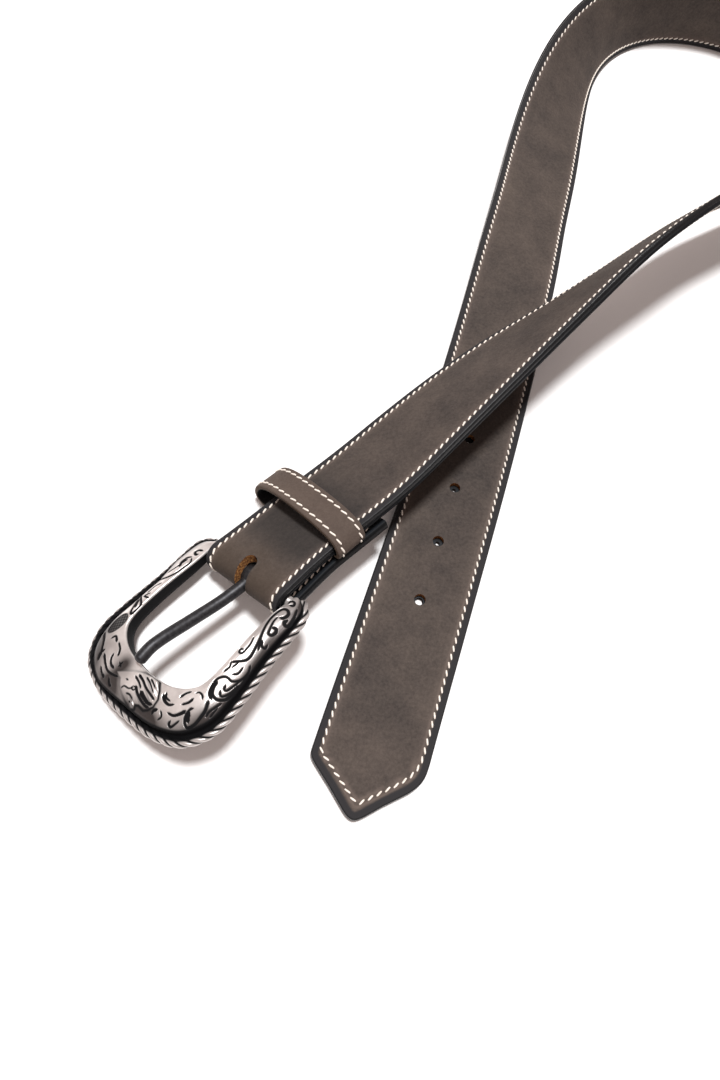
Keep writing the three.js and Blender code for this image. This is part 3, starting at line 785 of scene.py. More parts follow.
# the walls on one side of the slot take the dark finish: painted shade
slot.data.polygons.foreach_set("material_index", (slot_normals @ FOLD_ACROSS > 0.1).astype(np.int32))
for piece, finish, pegs in ((strap_face, nubuck, face_pegs), (strap_back, lining_black, lining_pegs)):
    piece.data.materials.append(finish)
    cut(piece, [slot] + pegs)
    piece.data.set_sharp_from_angle(angle=math.radians(50))
for cutter in [slot] + face_pegs + lining_pegs:
    bpy.data.objects.remove(cutter)
finish_piece(strap_face, "strap", "face_leather", None, "strap_outer")
finish_piece(strap_back, "strap", "lining_leather", None, "strap_lining")

# %% [markdown]
# ## Stitches
# Each stitch is a short thick dash of waxed thread. It leans across the seam, because the two threads of a
# lockstitch pull on opposite sides, and both ends dive into the leather. A dashed texture would be lighter,
# but real dashes catch the lamp and throw a small shadow. All of a seam's stitches are one array: stitches,
# rings along each, and points round each ring.

# %% Stitch builder
STITCH_LENGTH = 2.5
STITCH_RADIUS = 0.36
STITCH_RISE = 0.34
STITCH_SET = 0.24
STITCH_LEAN = math.radians(20)
STITCH_RINGS = 9
STITCH_SIDES = 8
STITCH_ENDS = 0.999
THREAD_TWIST = 2.4
THREAD_PLY = 0.1
SEAM_LIFT = 0.1


def stitches(name, middle, along, out, length=STITCH_LENGTH):
    """Dashes centred on middle, pointing along, standing out. At share x from -1 to 1 of its length, the
    dash is as thick as the root of one less x to the eighth, and its middle line is an arch that ends under
    the leather."""
    along, out = unit(along), unit(out)
    side = np.cross(out, along)
    x = np.sin(np.linspace(-np.pi / 2, np.pi / 2, STITCH_RINGS)) * STITCH_ENDS
    thick = STITCH_RADIUS * np.sqrt(1 - x**8)
    rise = STITCH_RISE * np.sqrt(1 - 0.98 * x**4) - STITCH_SET
    angle = np.linspace(0, 2 * np.pi, STITCH_SIDES, endpoint=False)
    twist = angle[None, :] - THREAD_TWIST * x[:, None]
    round_off = 1 + THREAD_PLY * np.cos(2 * twist)
    sideways = thick[:, None] * round_off * np.cos(angle)
    upwards = rise[:, None] + thick[:, None] * round_off * np.sin(angle)
    lengthways = (x * length / 2)[:, None] + 0 * angle
    points = (middle[:, None, None] + lengthways[..., None] * along[:, None, None]
              + sideways[..., None] * side[:, None, None] + upwards[..., None] * out[:, None, None])
    one = grid_faces(STITCH_RINGS, STITCH_SIDES)
    if volume_of(points[0].reshape(-1, 3) - middle[0], one) < 0:
        one = [f[::-1] for f in one]
    size = STITCH_RINGS * STITCH_SIDES
    faces = [[corner + k * size for corner in f] for k in range(len(middle)) for f in one]
    return make_piece(name, points.reshape(-1, 3), faces)


print("one stitch has", STITCH_RINGS * STITCH_SIDES, "points")

# %% Seams of the strap
def seam_places(line):
    """Middles and directions of the stitches on a seam, flat, at whole steps of the pitch from its corner."""
    begun = run_along(line)
    run = np.arange(STITCH_PITCH / 2, begun[-1], STITCH_PITCH)
    s = np.interp(run, begun, line[:, 0])
    t = np.interp(run, begun, line[:, 1])
    stretch = np.clip(np.searchsorted(begun, run) - 1, 0, len(line) - 2)
    direction = unit(np.diff(line, axis=0)[stretch])
    keep = (s > back_end + 4.0) & (s < STRAP_LENGTH)
    return s[keep], t[keep], direction[keep]


def strap_seam(name, n, mirror):
    """All stitches of one face: both edges' seams, leaning the same way seen from that face."""
    both = [seam_places(line) for line in (SEAM_RAISED, SEAM_OTHER)]
    s, t, flat = (np.concatenate([one[k] for one in both]) for k in range(3))
    lean = STITCH_LEAN * mirror
    turned = np.stack([flat[:, 0] * np.cos(lean) + flat[:, 1] * np.sin(lean),
                       -flat[:, 0] * np.sin(lean) + flat[:, 1] * np.cos(lean)], axis=1)
    point, along, across, out = strap_frame(s)
    middle = point + narrowed(s, t)[:, None] * across + n * out
    direction = turned[:, :1] * along + turned[:, 1:] * across
    return stitches(name, middle, direction, out * mirror)


seam_top = strap_seam("seam_top", -SEAM_LIFT, 1)
seam_under = strap_seam("seam_under", -STRAP_THICK + SEAM_LIFT, -1)
finish_piece(seam_top, "strap", "face_leather", thread_cream)
finish_piece(seam_under, "strap", "lining_leather", thread_cream)

# %% [markdown]
# ## Keeper
# The keeper is a loose band of the same nubuck. Its lower side lies between the strap's two layers, there is
# room above for the tail, and it has slipped to one side. It could be a bent box with bevelled edges, but
# its bend changes all the way round. So its section is a smooth closed line through a few points, and a band
# with rounded edges is carried along that line. Its edges are left brown and its inside is black.

# %% Keeper's line
KEEPER_AT = 32.6
KEEPER_WIDTH = 13.0
KEEPER_SKEW = -0.05
KEEPER_BOTTOM = -(STRAP_THICK + KEEPER_ROOM + KEEPER_WALL)
KEEPER_LINE = np.array([
    # across the strap, out of its face
    [22.3, -3.2],
    [22.2, -0.4],
    [20.6, 3.1],
    [15.6, 5.4],
    [10.2, 6.7],
    [4.2, 7.5],
    [-2.2, 8.1],
    [-9.0, 8.3],
    [-16.0, 7.8],
    [-22.4, 6.1],
    [-27.6, 2.9],
    [-31.0, -1.4],
    [-31.2, -5.0],
    [-28.8, -7.2],
    [-25.0, -7.5],
    [-21.6, -6.6],
    [-17.5, KEEPER_BOTTOM],
    [-12.0, KEEPER_BOTTOM],
    [-6.0, KEEPER_BOTTOM],
    [0.0, KEEPER_BOTTOM],
    [6.0, KEEPER_BOTTOM],
    [12.0, KEEPER_BOTTOM],
    [17.0, KEEPER_BOTTOM],
    [20.6, -5.7],
])
KEEPER_PITCH = 3.6
KEEPER_INSET = 2.1
KEEPER_SINK = 0.16
KEEPER_OUTER_ROUND = 0.7
KEEPER_INNER_ROUND = 0.15
KEEPER_FLAT_INSET = 1.1
KEEPER_COLUMNS = 22


def keeper_loop(count):
    """The keeper's outside as t, n and the direction out of it, at even steps along it, and how far along
    each is. Slope cubics join the corners, and outwards is the direction along, turned by a quarter."""
    before, here = np.roll(KEEPER_LINE, 1, axis=0)[:, None], KEEPER_LINE[:, None]
    after, beyond = np.roll(KEEPER_LINE, -1, axis=0)[:, None], np.roll(KEEPER_LINE, -2, axis=0)[:, None]
    x = np.linspace(0, 1, 40, endpoint=False)[None, :, None]
    line = slope_cubic(before, here, after, beyond, x).reshape(-1, 2)
    line = np.concatenate([line, line[:1]])
    run = run_along(line)
    at = np.linspace(0, run[-1], count, endpoint=False)
    even = np.stack([np.interp(at, run, line[:, k]) for k in range(2)], axis=1)
    step = unit(np.roll(even, -1, axis=0) - np.roll(even, 1, axis=0))
    return np.concatenate([even, np.stack([step[:, 1], -step[:, 0]], axis=1)], axis=1), at


def keeper_point(t, n, along):
    """A point of the keeper: the strap's frame at its place, with along sheared by the skew."""
    point, run, across, out = (v[0] for v in strap_frame(np.array([KEEPER_AT])))
    shear = along + KEEPER_SKEW * t
    return point + t[..., None] * across + n[..., None] * out + shear[..., None] * run


loop, loop_run = keeper_loop(240)
print("the keeper is", round(loop_run[-1] + loop_run[1], 1), "mm round its outside")

# %% Keeper's band
def band_profile(half, wall, large, small):
    """The band's section from one inner edge over its outside to the other, as places along the strap and
    depths: quarter circles of the small radius inside and of the large one outside."""
    quarter = np.linspace(0, np.pi / 2, 6)
    sine, cosine = np.sin(quarter), np.cos(quarter)
    flat = np.linspace(KEEPER_FLAT_INSET - half, half - KEEPER_FLAT_INSET, KEEPER_COLUMNS)
    return np.concatenate([
        np.stack([small - half - small * cosine[::-1], small - wall - small * sine[::-1]], axis=1),
        np.stack([large - half - large * cosine, large * sine - large], axis=1),
        np.stack([flat, 0 * flat], axis=1),
        np.stack([half - large + large * sine, large * cosine - large], axis=1),
        np.stack([half - small + small * cosine, small - wall - small * sine], axis=1),
    ])


half = KEEPER_WIDTH / 2
band = band_profile(half, KEEPER_WALL, KEEPER_OUTER_ROUND, KEEPER_INNER_ROUND)
from_edge = half - np.abs(band[:, 0])
band_sink = np.where(band[:, 1] > -0.01, KEEPER_SINK * bell(from_edge - KEEPER_INSET, 0.5), 0)
deep = band[None, :, 1] - band_sink
keeper_t = loop[:, None, 0] + deep * loop[:, None, 2]
keeper_n = loop[:, None, 1] + deep * loop[:, None, 3]
keeper_along = band[None, :, 0] + 0 * keeper_t
keeper_band = skin("keeper_band", keeper_point(keeper_t, keeper_n, keeper_along), ring_rows=True)
inside = np.tile(smoothstep(0.25 - KEEPER_WALL, 0.05 - KEEPER_WALL, band[:, 1]), (len(loop), 1))
rim = np.tile(smoothstep(-0.35, -0.7, band[:, 1]), (len(loop), 1))
attribute(keeper_band, "inside", inside)
attribute(keeper_band, "rim", rim)

keeper_nubuck = nubuck.copy()
keeper_nubuck.name = "keeper_nubuck"
tree = keeper_nubuck.node_tree
shader = next(n for n in tree.nodes if n.type == "BSDF_PRINCIPLED")
colour = shader.inputs["Base Color"].links[0].from_socket
colour = mix(tree, 0.35, colour, srgb(98, 82, 72))
colour = mix(tree, stored(tree, "rim"), colour, srgb(92, 76, 62))
colour = mix(tree, stored(tree, "inside"), colour, srgb(26, 26, 27))
wire(tree, colour, shader)
finish_piece(keeper_band, "strap", "face_leather", keeper_nubuck, "keeper")

# %% [markdown]
# ## The keeper's stitches
# Two rows of longer stitches run round the keeper, the same distance inside both edges. Each stitch needs a
# direction on the sheared band, so forwards and outwards are measured: a point one step on, less the point.

# %% Keeper's stitches
KEEPER_STITCH = 2.9
fine, run = keeper_loop(2400)
length = run[-1] + run[1]
count = int(length // KEEPER_PITCH)
at = (np.arange(count) + 0.5) * length / count
t, n, out_t, out_n = (np.interp(at, run, fine[:, k]) for k in range(4))
middles, directions, outs = [], [], []
for row_at in (KEEPER_INSET - half, half - KEEPER_INSET):
    here = keeper_point(t, n, row_at + 0 * t)
    forward = keeper_point(t - out_n, n + out_t, row_at + 0 * t) - here
    outward = keeper_point(t + out_t, n + out_n, row_at + 0 * t) - here
    lean = np.cross(unit(outward), unit(forward))
    middles.append(keeper_point(t - SEAM_LIFT * out_t, n - SEAM_LIFT * out_n, row_at + 0 * t))
    directions.append(unit(forward) + math.tan(STITCH_LEAN * 0.6) * lean)
    outs.append(outward)
rows = (np.concatenate(v) for v in (middles, directions, outs))
seam_keeper = stitches("seam_keeper", *rows, length=KEEPER_STITCH)
finish_piece(seam_keeper, "strap", "face_leather", thread_cream)

# %% [markdown]
# ## Buckle frame
# The frame is cast in one piece. Its own coordinates are u from the bar to the bow, v across and w up, and
# they hang on the strap's fold, so the buckle sits on the bar however the strap lies. Its plan is two lines,
# inner and outer. It could be a curve with a bevel object, but its section changes from the thin ends at the
# bar to the wide bow, so the two lines are given apart, for one half, and mirrored.

# %% Buckle coordinates and plan
FRAME_PITCH = math.radians(8.8)
FRAME_SHIFT = -0.5
FRAME_BOTTOM = -2.5
TO_BOW = -math.cos(FRAME_PITCH) * FOLD_ALONG - math.sin(FRAME_PITCH) * FOLD_OUT
FACE_UP = np.cross(TO_BOW, FOLD_ACROSS)
FRAME_HALF = np.array([
    # inner u, inner v, outer u, outer v, height of the inner rim
    [-2.5, 21.6, -2.4, 23.4, 1.6],
    [-1.2, 20.8, -0.8, 26.2, 2.2],
    [1.5, 20.6, 2.2, 28.3, 2.9],
    [7.0, 20.2, 8.5, 29.1, 4.0],
    [13.5, 20.3, 16.0, 29.4, 5.0],
    [20.5, 20.7, 23.5, 30.1, 5.8],
    [27.5, 21.1, 32.0, 31.2, 6.2],
    [34.0, 21.2, 40.5, 32.0, 6.3],
    [38.4, 20.7, 46.8, 31.8, 6.3],
    [41.3, 19.4, 52.3, 29.5, 6.3],
    [43.8, 16.7, 56.9, 25.5, 6.3],
    [45.8, 12.9, 59.7, 19.8, 6.3],
    [47.1, 7.5, 61.6, 11.4, 6.4],
    [47.6, 0.0, 62.2, 0.0, 6.4],
])
HALF_BENDS = spline_bends(FRAME_HALF)


def in_buckle(u, v, w):
    """Places of buckle points, in millimetres."""
    u, v, w = (np.asarray(x, float)[..., None] for x in (u, v, w))
    return BAR_CENTRE + u * TO_BOW + v * FOLD_ACROSS + w * FACE_UP


def whole_plan(count):
    """The plan from the low arm round the bow to the high arm, at even steps of its middle line."""
    high = on_spline(FRAME_HALF, HALF_BENDS, np.linspace(0, len(FRAME_HALF) - 1, 600))
    low = high * np.array([1, -1, 1, -1, 1])
    rows = np.concatenate([low, high[-2::-1]])
    run = run_along((rows[:, :2] + rows[:, 2:4]) / 2)
    at = np.linspace(0, run[-1], count)
    return np.stack([np.interp(at, run, rows[:, k]) for k in range(5)], axis=1)


print("frame plan", whole_plan(5).round(1).tolist())

# %% [markdown]
# ## Engraving
# The frame's face is cut with scrolls, leaves and hooks, and a small horse head stands proud of the bow. Both
# could be modelled by hand, but a height over the face is simpler: each stroke is a line of a few points, as
# wide at each end as it says, and the height goes down near it. The same closeness to a stroke is stored on
# the mesh, where the finish turns it black, as the cuts of a real cast buckle are.

# %% Strokes
STROKES = [
    # width at the start, width at the end, points (u, v)
    (0.69, 1.00, [(1.4, 20.9), (-0.1, 21.1), (-0.3, 22.3), (0.8, 22.9), (1.5, 21.8)]),
    (0.69, 1.13, [(20.0, 25.6), (14.7, 22.6), (10.0, 21.0), (6.5, 20.8), (4.2, 21.3), (3.4, 22.7),
        (4.3, 24.0), (6.2, 23.9), (7.1, 22.9)]),
    (0.61, 1.06, [(7.3, 22.2), (9.4, 22.4), (12.4, 23.5), (13.6, 24.1), (13.4, 25.1), (11.8, 25.4),
        (10.8, 24.6), (11.4, 23.5)]),
    (0.55, 1.13, [(0.9, 24.6), (3.7, 25.9), (6.7, 26.6), (7.9, 26.1), (7.3, 25.0), (6.1, 25.2)]),
    (1.13, 0.55, [(16.7, 24.3), (18.1, 25.2), (18.1, 26.4), (16.6, 26.3)]),
    (0.55, 0.80, [(17.6, 21.7), (20.0, 22.6), (22.5, 22.9), (24.2, 22.8), (24.4, 21.8), (23.3, 21.5),
        (22.9, 22.4)]),
    (0.74, 0.93, [(14.7, 22.6), (17.5, 23.7), (21.1, 24.9), (23.6, 25.4), (25.6, 24.9), (28.5, 22.4)]),
    (0.61, 0.86, [(28.3, 22.1), (29.9, 23.1), (32.3, 22.8)]),
    (0.61, 0.61, [(29.7, 23.8), (27.1, 24.2)]),
    (0.55, 0.74, [(27.2, 26.1), (29.7, 26.3), (31.2, 25.4)]),
    (0.61, 1.13, [(25.2, 27.0), (27.7, 28.0), (30.8, 27.9), (32.8, 26.6), (32.9, 25.0), (33.7, 23.7),
        (35.6, 22.8), (38.2, 23.2), (40.2, 24.2), (41.1, 25.8)]),
    (1.13, 0.69, [(35.8, 23.5), (38.0, 23.9), (39.8, 25.1), (40.1, 26.8), (39.1, 28.1), (37.6, 28.8),
        (33.5, 29.0), (30.4, 28.7), (28.0, 28.3)]),
    (0.86, 0.55, [(37.3, 26.0), (38.4, 26.9), (38.0, 27.7), (35.7, 28.4), (32.2, 28.5)]),
    (0.86, 0.55, [(34.9, 26.1), (36.2, 26.5), (36.0, 27.3), (33.9, 27.7), (30.4, 28.1)]),
    (0.55, 0.74, [(40.0, 28.6), (42.5, 28.0), (44.6, 27.5), (46.1, 27.7)]),
    (0.6, 0.45, [(45.5, 28.6), (41.9, 28.6)]),
    (0.71, 1.1, [(43.3, 19.0), (45.0, 17.8), (47.0, 17.2)]),
    (0.55, 0.86, [(43.0, 20.5), (42.0, 21.3), (42.0, 22.7), (42.9, 23.7)]),
    (1.36, 0.78, [(49.7, 11.6), (50.8, 13.3), (50.9, 15.5), (49.7, 17.1)]),
    (1.1, 0.61, [(48.6, 12.0), (49.8, 13.2), (49.8, 15.3)]),
    (0.78, 1.1, [(48.3, 19.2), (46.4, 20.7), (44.5, 21.2)]),
    (0.78, 1.36, [(52.9, 16.7), (52.3, 19.1), (50.4, 20.8), (48.8, 21.6)]),
    (0.93, 1.13, [(46.7, 23.2), (47.7, 22.5), (49.9, 22.5), (51.6, 23.4), (52.3, 24.8), (51.4, 25.6),
        (49.6, 26.3), (46.9, 26.5), (44.8, 26.4), (42.0, 25.4)]),
    (1.45, 1.45, [(48.4, 23.0), (49.9, 23.4), (51.0, 24.4)]),
    (1.1, 0.71, [(54.0, 19.2), (55.2, 19.2), (55.2, 20.4), (52.2, 21.7)]),
    (1.03, 1.19, [(3.6, -22.4), (4.2, -23.9), (5.6, -24.5), (6.4, -23.3), (5.7, -22.5)]),
    (0.78, 1.36, [(7.9, -23.5), (9.5, -25.0), (11.7, -25.0), (13.7, -23.7)]),
    (0.78, 1.1, [(8.3, -23.2), (10.1, -21.8), (13.1, -22.0), (16.9, -22.5), (20.1, -24.3), (22.1, -28.1)]),
    (0.71, 0.95, [(17.9, -26.0), (15.6, -25.1), (12.6, -24.5), (9.5, -24.1)]),
    (0.71, 0.95, [(22.3, -23.3), (24.9, -24.7), (28.1, -24.8)]),
    (0.71, 0.95, [(27.5, -23.3), (29.6, -24.7), (29.3, -22.2)]),
    (1.03, 1.03, [(30.2, -28.6), (33.4, -25.4), (36.9, -23.4), (36.7, -22.4), (32.6, -22.7),
        (30.0, -27.5)]),
    (1.45, 1.03, [(31.7, -25.6), (34.8, -23.5)]),
    (1.19, 1.19, [(47.8, -26.9), (49.8, -23.9), (52.4, -21.6), (54.5, -20.1)]),
    (0.78, 1.1, [(47.8, -21.4), (46.2, -20.3), (47.4, -18.1)]),
    (0.78, 1.1, [(47.0, -17.4), (48.4, -14.8), (50.5, -13.3)]),
    (1.03, 1.45, [(51.7, -20.2), (53.7, -21.0), (55.7, -20.0)]),
    (1.19, 0.78, [(52.9, -19.2), (54.9, -16.1), (56.1, -13.4), (55.9, -10.4), (55.2, -7.7)]),
    (0.95, 1.1, [(50.7, -15.6), (52.5, -15.1), (53.9, -13.5), (54.2, -11.3)]),
    (0.88, 0.95, [(56.6, -17.2), (57.8, -15.4), (58.5, -13.5), (57.7, -14.1)]),
    (0.88, 1.1, [(57.4, -11.1), (58.8, -9.7), (59.0, -8.4)]),
    (0.78, 0.78, [(51.5, -11.2), (52.4, -9.0)]),
    (0.78, 0.78, [(50.6, -9.8), (53.0, -10.3)]),
    (1.03, 1.36, [(56.6, 12.1), (55.3, 12.1), (54.2, 13.1)]),
    (0.88, 0.71, [(53.8, 14.3), (55.0, 15.6), (56.6, 15.0)]),
]
LEAF = (42.5, -24.3, 4.3, 2.6, math.radians(-8))  # u, v, half length, half width, turn
HORSE_OUTLINE = np.array([
    # u, v
    [54.2, -9.4], [52.4, -6.6], [50.6, -3.4], [48.7, 0.5], [47.9, 4.0], [47.8, 7.3], [50.0, 9.7],
    [52.1, 11.1], [54.6, 11.1], [56.3, 9.9], [57.3, 8.5], [57.2, 5.9], [57.9, 4.4], [59.1, 4.9],
    [59.9, 3.5], [59.1, 0.1], [58.0, -2.7], [56.7, -5.1], [55.0, -6.4], [54.8, -7.8], [54.2, -9.4],
])
HORSE_STROKES = [
    # width at the start, width at the end, points (u, v)
    (0.84, 0.72, [(53.9, -4.3), (53.8, -3.1)]),
    (0.6, 0.6, [(57.5, -4.2), (56.0, -3.3), (55.6, -1.2), (54.4, 0.4)]),
    (0.6, 0.6, [(54.0, -0.1), (54.0, 1.2), (54.9, 1.0), (54.9, -0.2), (54.0, -0.1)]),
    (0.72, 0.6, [(57.2, -1.2), (56.8, 0.6), (57.3, 2.6)]),
    (1.08, 0.84, [(58.4, 1.6), (58.4, 2.4)]),
    (1.2, 0.96, [(53.4, 0.8), (54.7, 2.8), (55.6, 5.4), (56.0, 8.2), (55.7, 10.2)]),
    (1.8, 1.08, [(53.7, 3.7), (54.3, 5.7), (54.8, 8.6), (54.3, 10.6)]),
    (1.08, 0.84, [(50.2, -0.9), (50.8, 2.1), (51.8, 4.8), (52.5, 8.5), (52.8, 10.2)]),
    (0.96, 0.72, [(51.3, -1.8), (52.0, 1.0), (53.0, 3.2)]),
    (0.84, 0.6, [(49.2, 2.4), (49.8, 4.9), (50.8, 7.1), (51.4, 8.4)]),
    (0.72, 0.6, [(48.7, 4.3), (49.3, 6.3), (50.0, 7.9)]),
]
print(len(STROKES), "strokes on the frame and", len(HORSE_STROKES), "on the horse head")

# %% Closeness to strokes and outlines
STROKE_EASE = 0.9
STROKE_TIP = 0.35


def smooth_line(points, count=14):
    """A curve of slope cubics through all points, whose ends are carried on by one more straight step."""
    points = np.array(points, float)
    wide = np.concatenate([2 * points[:1] - points[1:2], points, 2 * points[-1:] - points[-2:-1]])
    before, here, after, beyond = (wide[k:len(wide) - 3 + k][:, None] for k in range(4))
    x = np.linspace(0, 1, count, endpoint=False)[None, :, None]
    line = slope_cubic(before, here, after, beyond, x)
    return np.concatenate([line.reshape(-1, 2), points[-1:]])


def cover_of(strokes, u, v, soft=0.11):
    """How deep in a stroke each point lies, 0 to 1: the half width runs from one end's to the other's and
    thins out over the last part of either end, and the cover falls off softly across its border."""
    cover = np.zeros(u.shape)
    for first, last, points in strokes:
        line = smooth_line(points)
        reach = max(first, last) / 2 + soft
        near = (u > line[:, 0].min() - reach) & (u < line[:, 0].max() + reach)
        near &= (v > line[:, 1].min() - reach) & (v < line[:, 1].max() + reach)
        apart, run = nearest_on(line, u[near], v[near])
        length = run_along(line)[-1]
        thinned = np.clip(STROKE_TIP + np.minimum(run, length - run) / STROKE_EASE, 0, 1)
        half = (first + (last - first) * run / length) / 2 * thinned
        cover[near] = np.maximum(cover[near], smoothstep(half + soft, half - soft, apart))
    return cover


def within(outline, u, v):
    """Signed distance inside a closed line of corners: a point is inside when a level ray from it meets the
    line an odd number of times."""
    apart, _ = nearest_on(outline, u, v)
    (u0, v0), (u1, v1) = outline[:-1].T, outline[1:].T
    spans = (v0 > v[..., None]) != (v1 > v[..., None])
    level = np.where(v1 == v0, 1.0, v1 - v0)
    meets = spans & (u[..., None] < u0 + (v[..., None] - v0) * (u1 - u0) / level)
    return np.where(meets.sum(-1) % 2 == 1, apart, -apart)


small_square = np.array([[-1.0, -1.0], [1.0, -1.0], [1.0, 1.0], [-1.0, 1.0], [-1.0, -1.0]])
middle = np.array([0.0])
print("depth at the middle of a square of 2 mm:", within(small_square, middle, middle).item())

# %% [markdown]
# ## Section of the frame
# Each row of the frame's grid runs up the inner wall, over the face, down into the groove and out under the
# rope. On the bow and the high arm the face slopes down to the groove, and on the low arm it is flatter, so
# the section is a blend of two profiles. How wide the face is changes round the frame too. All of this could
# be pulled into shape by hand, but tables of shares can be measured from the real buckle one by one.

# %% Section of the frame
FACE_COLUMNS = 66
FACE_START = 0.04
SLOPING_FACE = np.array([
    # share of the way from the rim to the face's edge, share of the rim's height
    [0.0, 0.99], [0.147, 1.0], [0.28, 0.975], [0.413, 0.92], [0.547, 0.85], [0.68, 0.75], [0.813, 0.63],
    [0.92, 0.52], [1.0, 0.41],
])
FLAT_FACE = np.array([
    # share of the way from the rim to the face's edge, share of the rim's height
    [0.0, 0.99], [0.15, 1.0], [0.3, 0.99], [0.45, 0.97], [0.6, 0.93], [0.75, 0.86], [0.88, 0.76], [1.0, 0.62],
])
LOW_ARM = np.array([
    # u, share of the width at which the face ends, how flat the face is
    [0.0, 0.84, 1.0],
    [12.0, 0.84, 1.0],
    [22.0, 0.68, 0.15],
    [34.0, 0.64, 0.15],
    [44.0, 0.72, 0.25],
    [51.0, 0.86, 0.45],
    [56.0, 0.96, 0.5],
])
BOW_AND_HIGH_ARM = np.array([
    # v, share of the width at which the face ends
    [-12.0, 0.96],
    [0.0, 0.87],
    [12.0, 0.86],
    [24.0, 0.82],
])
INNER_WALL = np.array([
    # share of the width, share of the rim's height, height added
    [0.0, 0.45, FRAME_BOTTOM],
    [0.0, 0.6, -1.9],
    [0.0, 0.8, -1.3],
    [0.0, 0.95, -0.7],
    [0.01, 1.0, -0.3],
])
DROP = np.array([
    # share of the width past the face's edge, share of the height there, height added
    [0.01, 0.88, 0.0],
    [0.02, 0.5, -0.1],
    [0.03, 0.0, -0.4],
])
GROOVE = np.array([
    # share of the width, share of the rim's height, height added
    [1.005, 0.0, -0.5],
    [1.01, 0.0, -0.7],
    [1.0, 0.0, -1.7],
    [0.9, 0.0, FRAME_BOTTOM],
])
print("rows in the section's tables:", len(INNER_WALL), FACE_COLUMNS, len(DROP), len(GROOVE))

# %% Grid of the frame
FRAME_ROWS = 860

plan = whole_plan(FRAME_ROWS)
inner_u, inner_v, outer_u, outer_v, rim_height = (plan[:, k, None] for k in range(5))
middle_u, middle_v = (inner_u + outer_u) / 2, (inner_v + outer_v) / 2
low = smoothstep(-11.0, -20.0, middle_v)
face_end = low * np.interp(middle_u, LOW_ARM[:, 0], LOW_ARM[:, 1])
face_end = face_end + (1 - low) * np.interp(middle_v, *BOW_AND_HIGH_ARM.T)
flat = low * np.interp(middle_u, LOW_ARM[:, 0], LOW_ARM[:, 2])
x = np.linspace(0, 1, FACE_COLUMNS)
over_face = FACE_START + (face_end - FACE_START) * x
face_rise = (1 - flat) * np.interp(x, *SLOPING_FACE.T) + flat * np.interp(x, *FLAT_FACE.T)
ones = np.ones_like(face_end)
shares = [ones * INNER_WALL[:, 0], over_face, face_end + DROP[:, 0], ones * GROOVE[:, 0]]
rises = [ones * INNER_WALL[:, 1], face_rise, face_rise[:, -1:] * DROP[:, 1], ones * GROOVE[:, 1]]
share, rise = np.concatenate(shares, axis=1), np.concatenate(rises, axis=1)
added = np.concatenate([INNER_WALL[:, 2], 0 * x, DROP[:, 2], GROOVE[:, 2]])
u = inner_u + (outer_u - inner_u) * share
v = inner_v + (outer_v - inner_v) * share + FRAME_SHIFT
plain_w = rise * rim_height + added
column = np.arange(share.shape[1])
on_face = ones * ((column >= len(INNER_WALL)) & (column < len(INNER_WALL) + FACE_COLUMNS))
print("frame grid", u.shape, "and its rim", plain_w.max().round(2), "mm above the bar's middle")

# %% Cuts in the face
CUT_DEPTH = 0.22
LEAF_DEPTH = 0.3
LEAF_RIM = 0.08
DIMPLE_WAVES = 4.2

cut_cover = cover_of(STROKES, u, v) * on_face
leaf_u, leaf_v, leaf_long, leaf_wide, turn = LEAF
along_leaf = (u - leaf_u) * math.cos(turn) + (v - leaf_v) * math.sin(turn)
beside_leaf = (v - leaf_v) * math.cos(turn) - (u - leaf_u) * math.sin(turn)
oval = np.hypot(along_leaf / leaf_long, beside_leaf / leaf_wide)
leaf_cover = smoothstep(1.06, 0.94, oval) * on_face
leaf_rim = bell(oval - 1.0, LEAF_RIM) * on_face
dimples = 0.5 + 0.5 * np.cos(DIMPLE_WAVES * along_leaf) * np.cos(DIMPLE_WAVES * beside_leaf)
print("points in a cut", int((cut_cover > 0.5).sum()), "and in the leaf", int((leaf_cover > 0.5).sum()))

# %% [markdown]
# ## Horse head
# The head is a low relief in profile: a flat top with a soft edge, raised a little more at the cheek and the
# muzzle, with waves for the mane. It could be sculpted, but it is only 20 mm long, so a height inside its
# outline is enough. The grid takes whichever is higher, the head or the face round it.

# %% Horse head
HORSE_TOP = 7.8
HORSE_SLOPE = -0.36
HORSE_BACK = 47.6
HORSE_FROM = 45.0
HORSE_WITHIN = 16.0
HORSE_EDGE = 0.35
SWELL = 0.3
MANE_WAVE = 1.9

near_horse = (u > HORSE_FROM) & (np.abs(v) < HORSE_WITHIN)
depth_in = np.full(u.shape, -9.0)
depth_in[near_horse] = within(HORSE_OUTLINE, u[near_horse], v[near_horse])
horse = smoothstep(-0.15, 0.45, depth_in) * on_face
cheek = bell(u - 54.6, 2.2) * bell(v + 2.6, 3.0)
muzzle = bell(u - 58.2, 1.5) * bell(v - 3.4, 2.0)
locks = np.cos(2 * np.pi * (u - 0.42 * v) / MANE_WAVE) * smoothstep(-1.0, 2.0, v)
horse_cover = cover_of(HORSE_STROKES, u, v, 0.12) * horse
horse_top = HORSE_TOP + HORSE_SLOPE * (u - HORSE_BACK) + SWELL * (cheek + muzzle) + 0.12 * locks
horse_top = horse_top - HORSE_EDGE * (1 - smoothstep(0.2, 1.6, depth_in) + horse_cover)
print("points on the horse head:", int((horse > 0.5).sum()))

# %% Frame body
cut_w = CUT_DEPTH * cut_cover + LEAF_DEPTH * leaf_cover * (0.6 + 0.4 * dimples)
w = plain_w - cut_w * (1 - horse)
w = w + horse * (np.maximum(horse_top, w) - w)
buckle_body = skin("buckle_body", in_buckle(u, v, w))
print("deepest cut", cut_w.max().round(2), "mm")

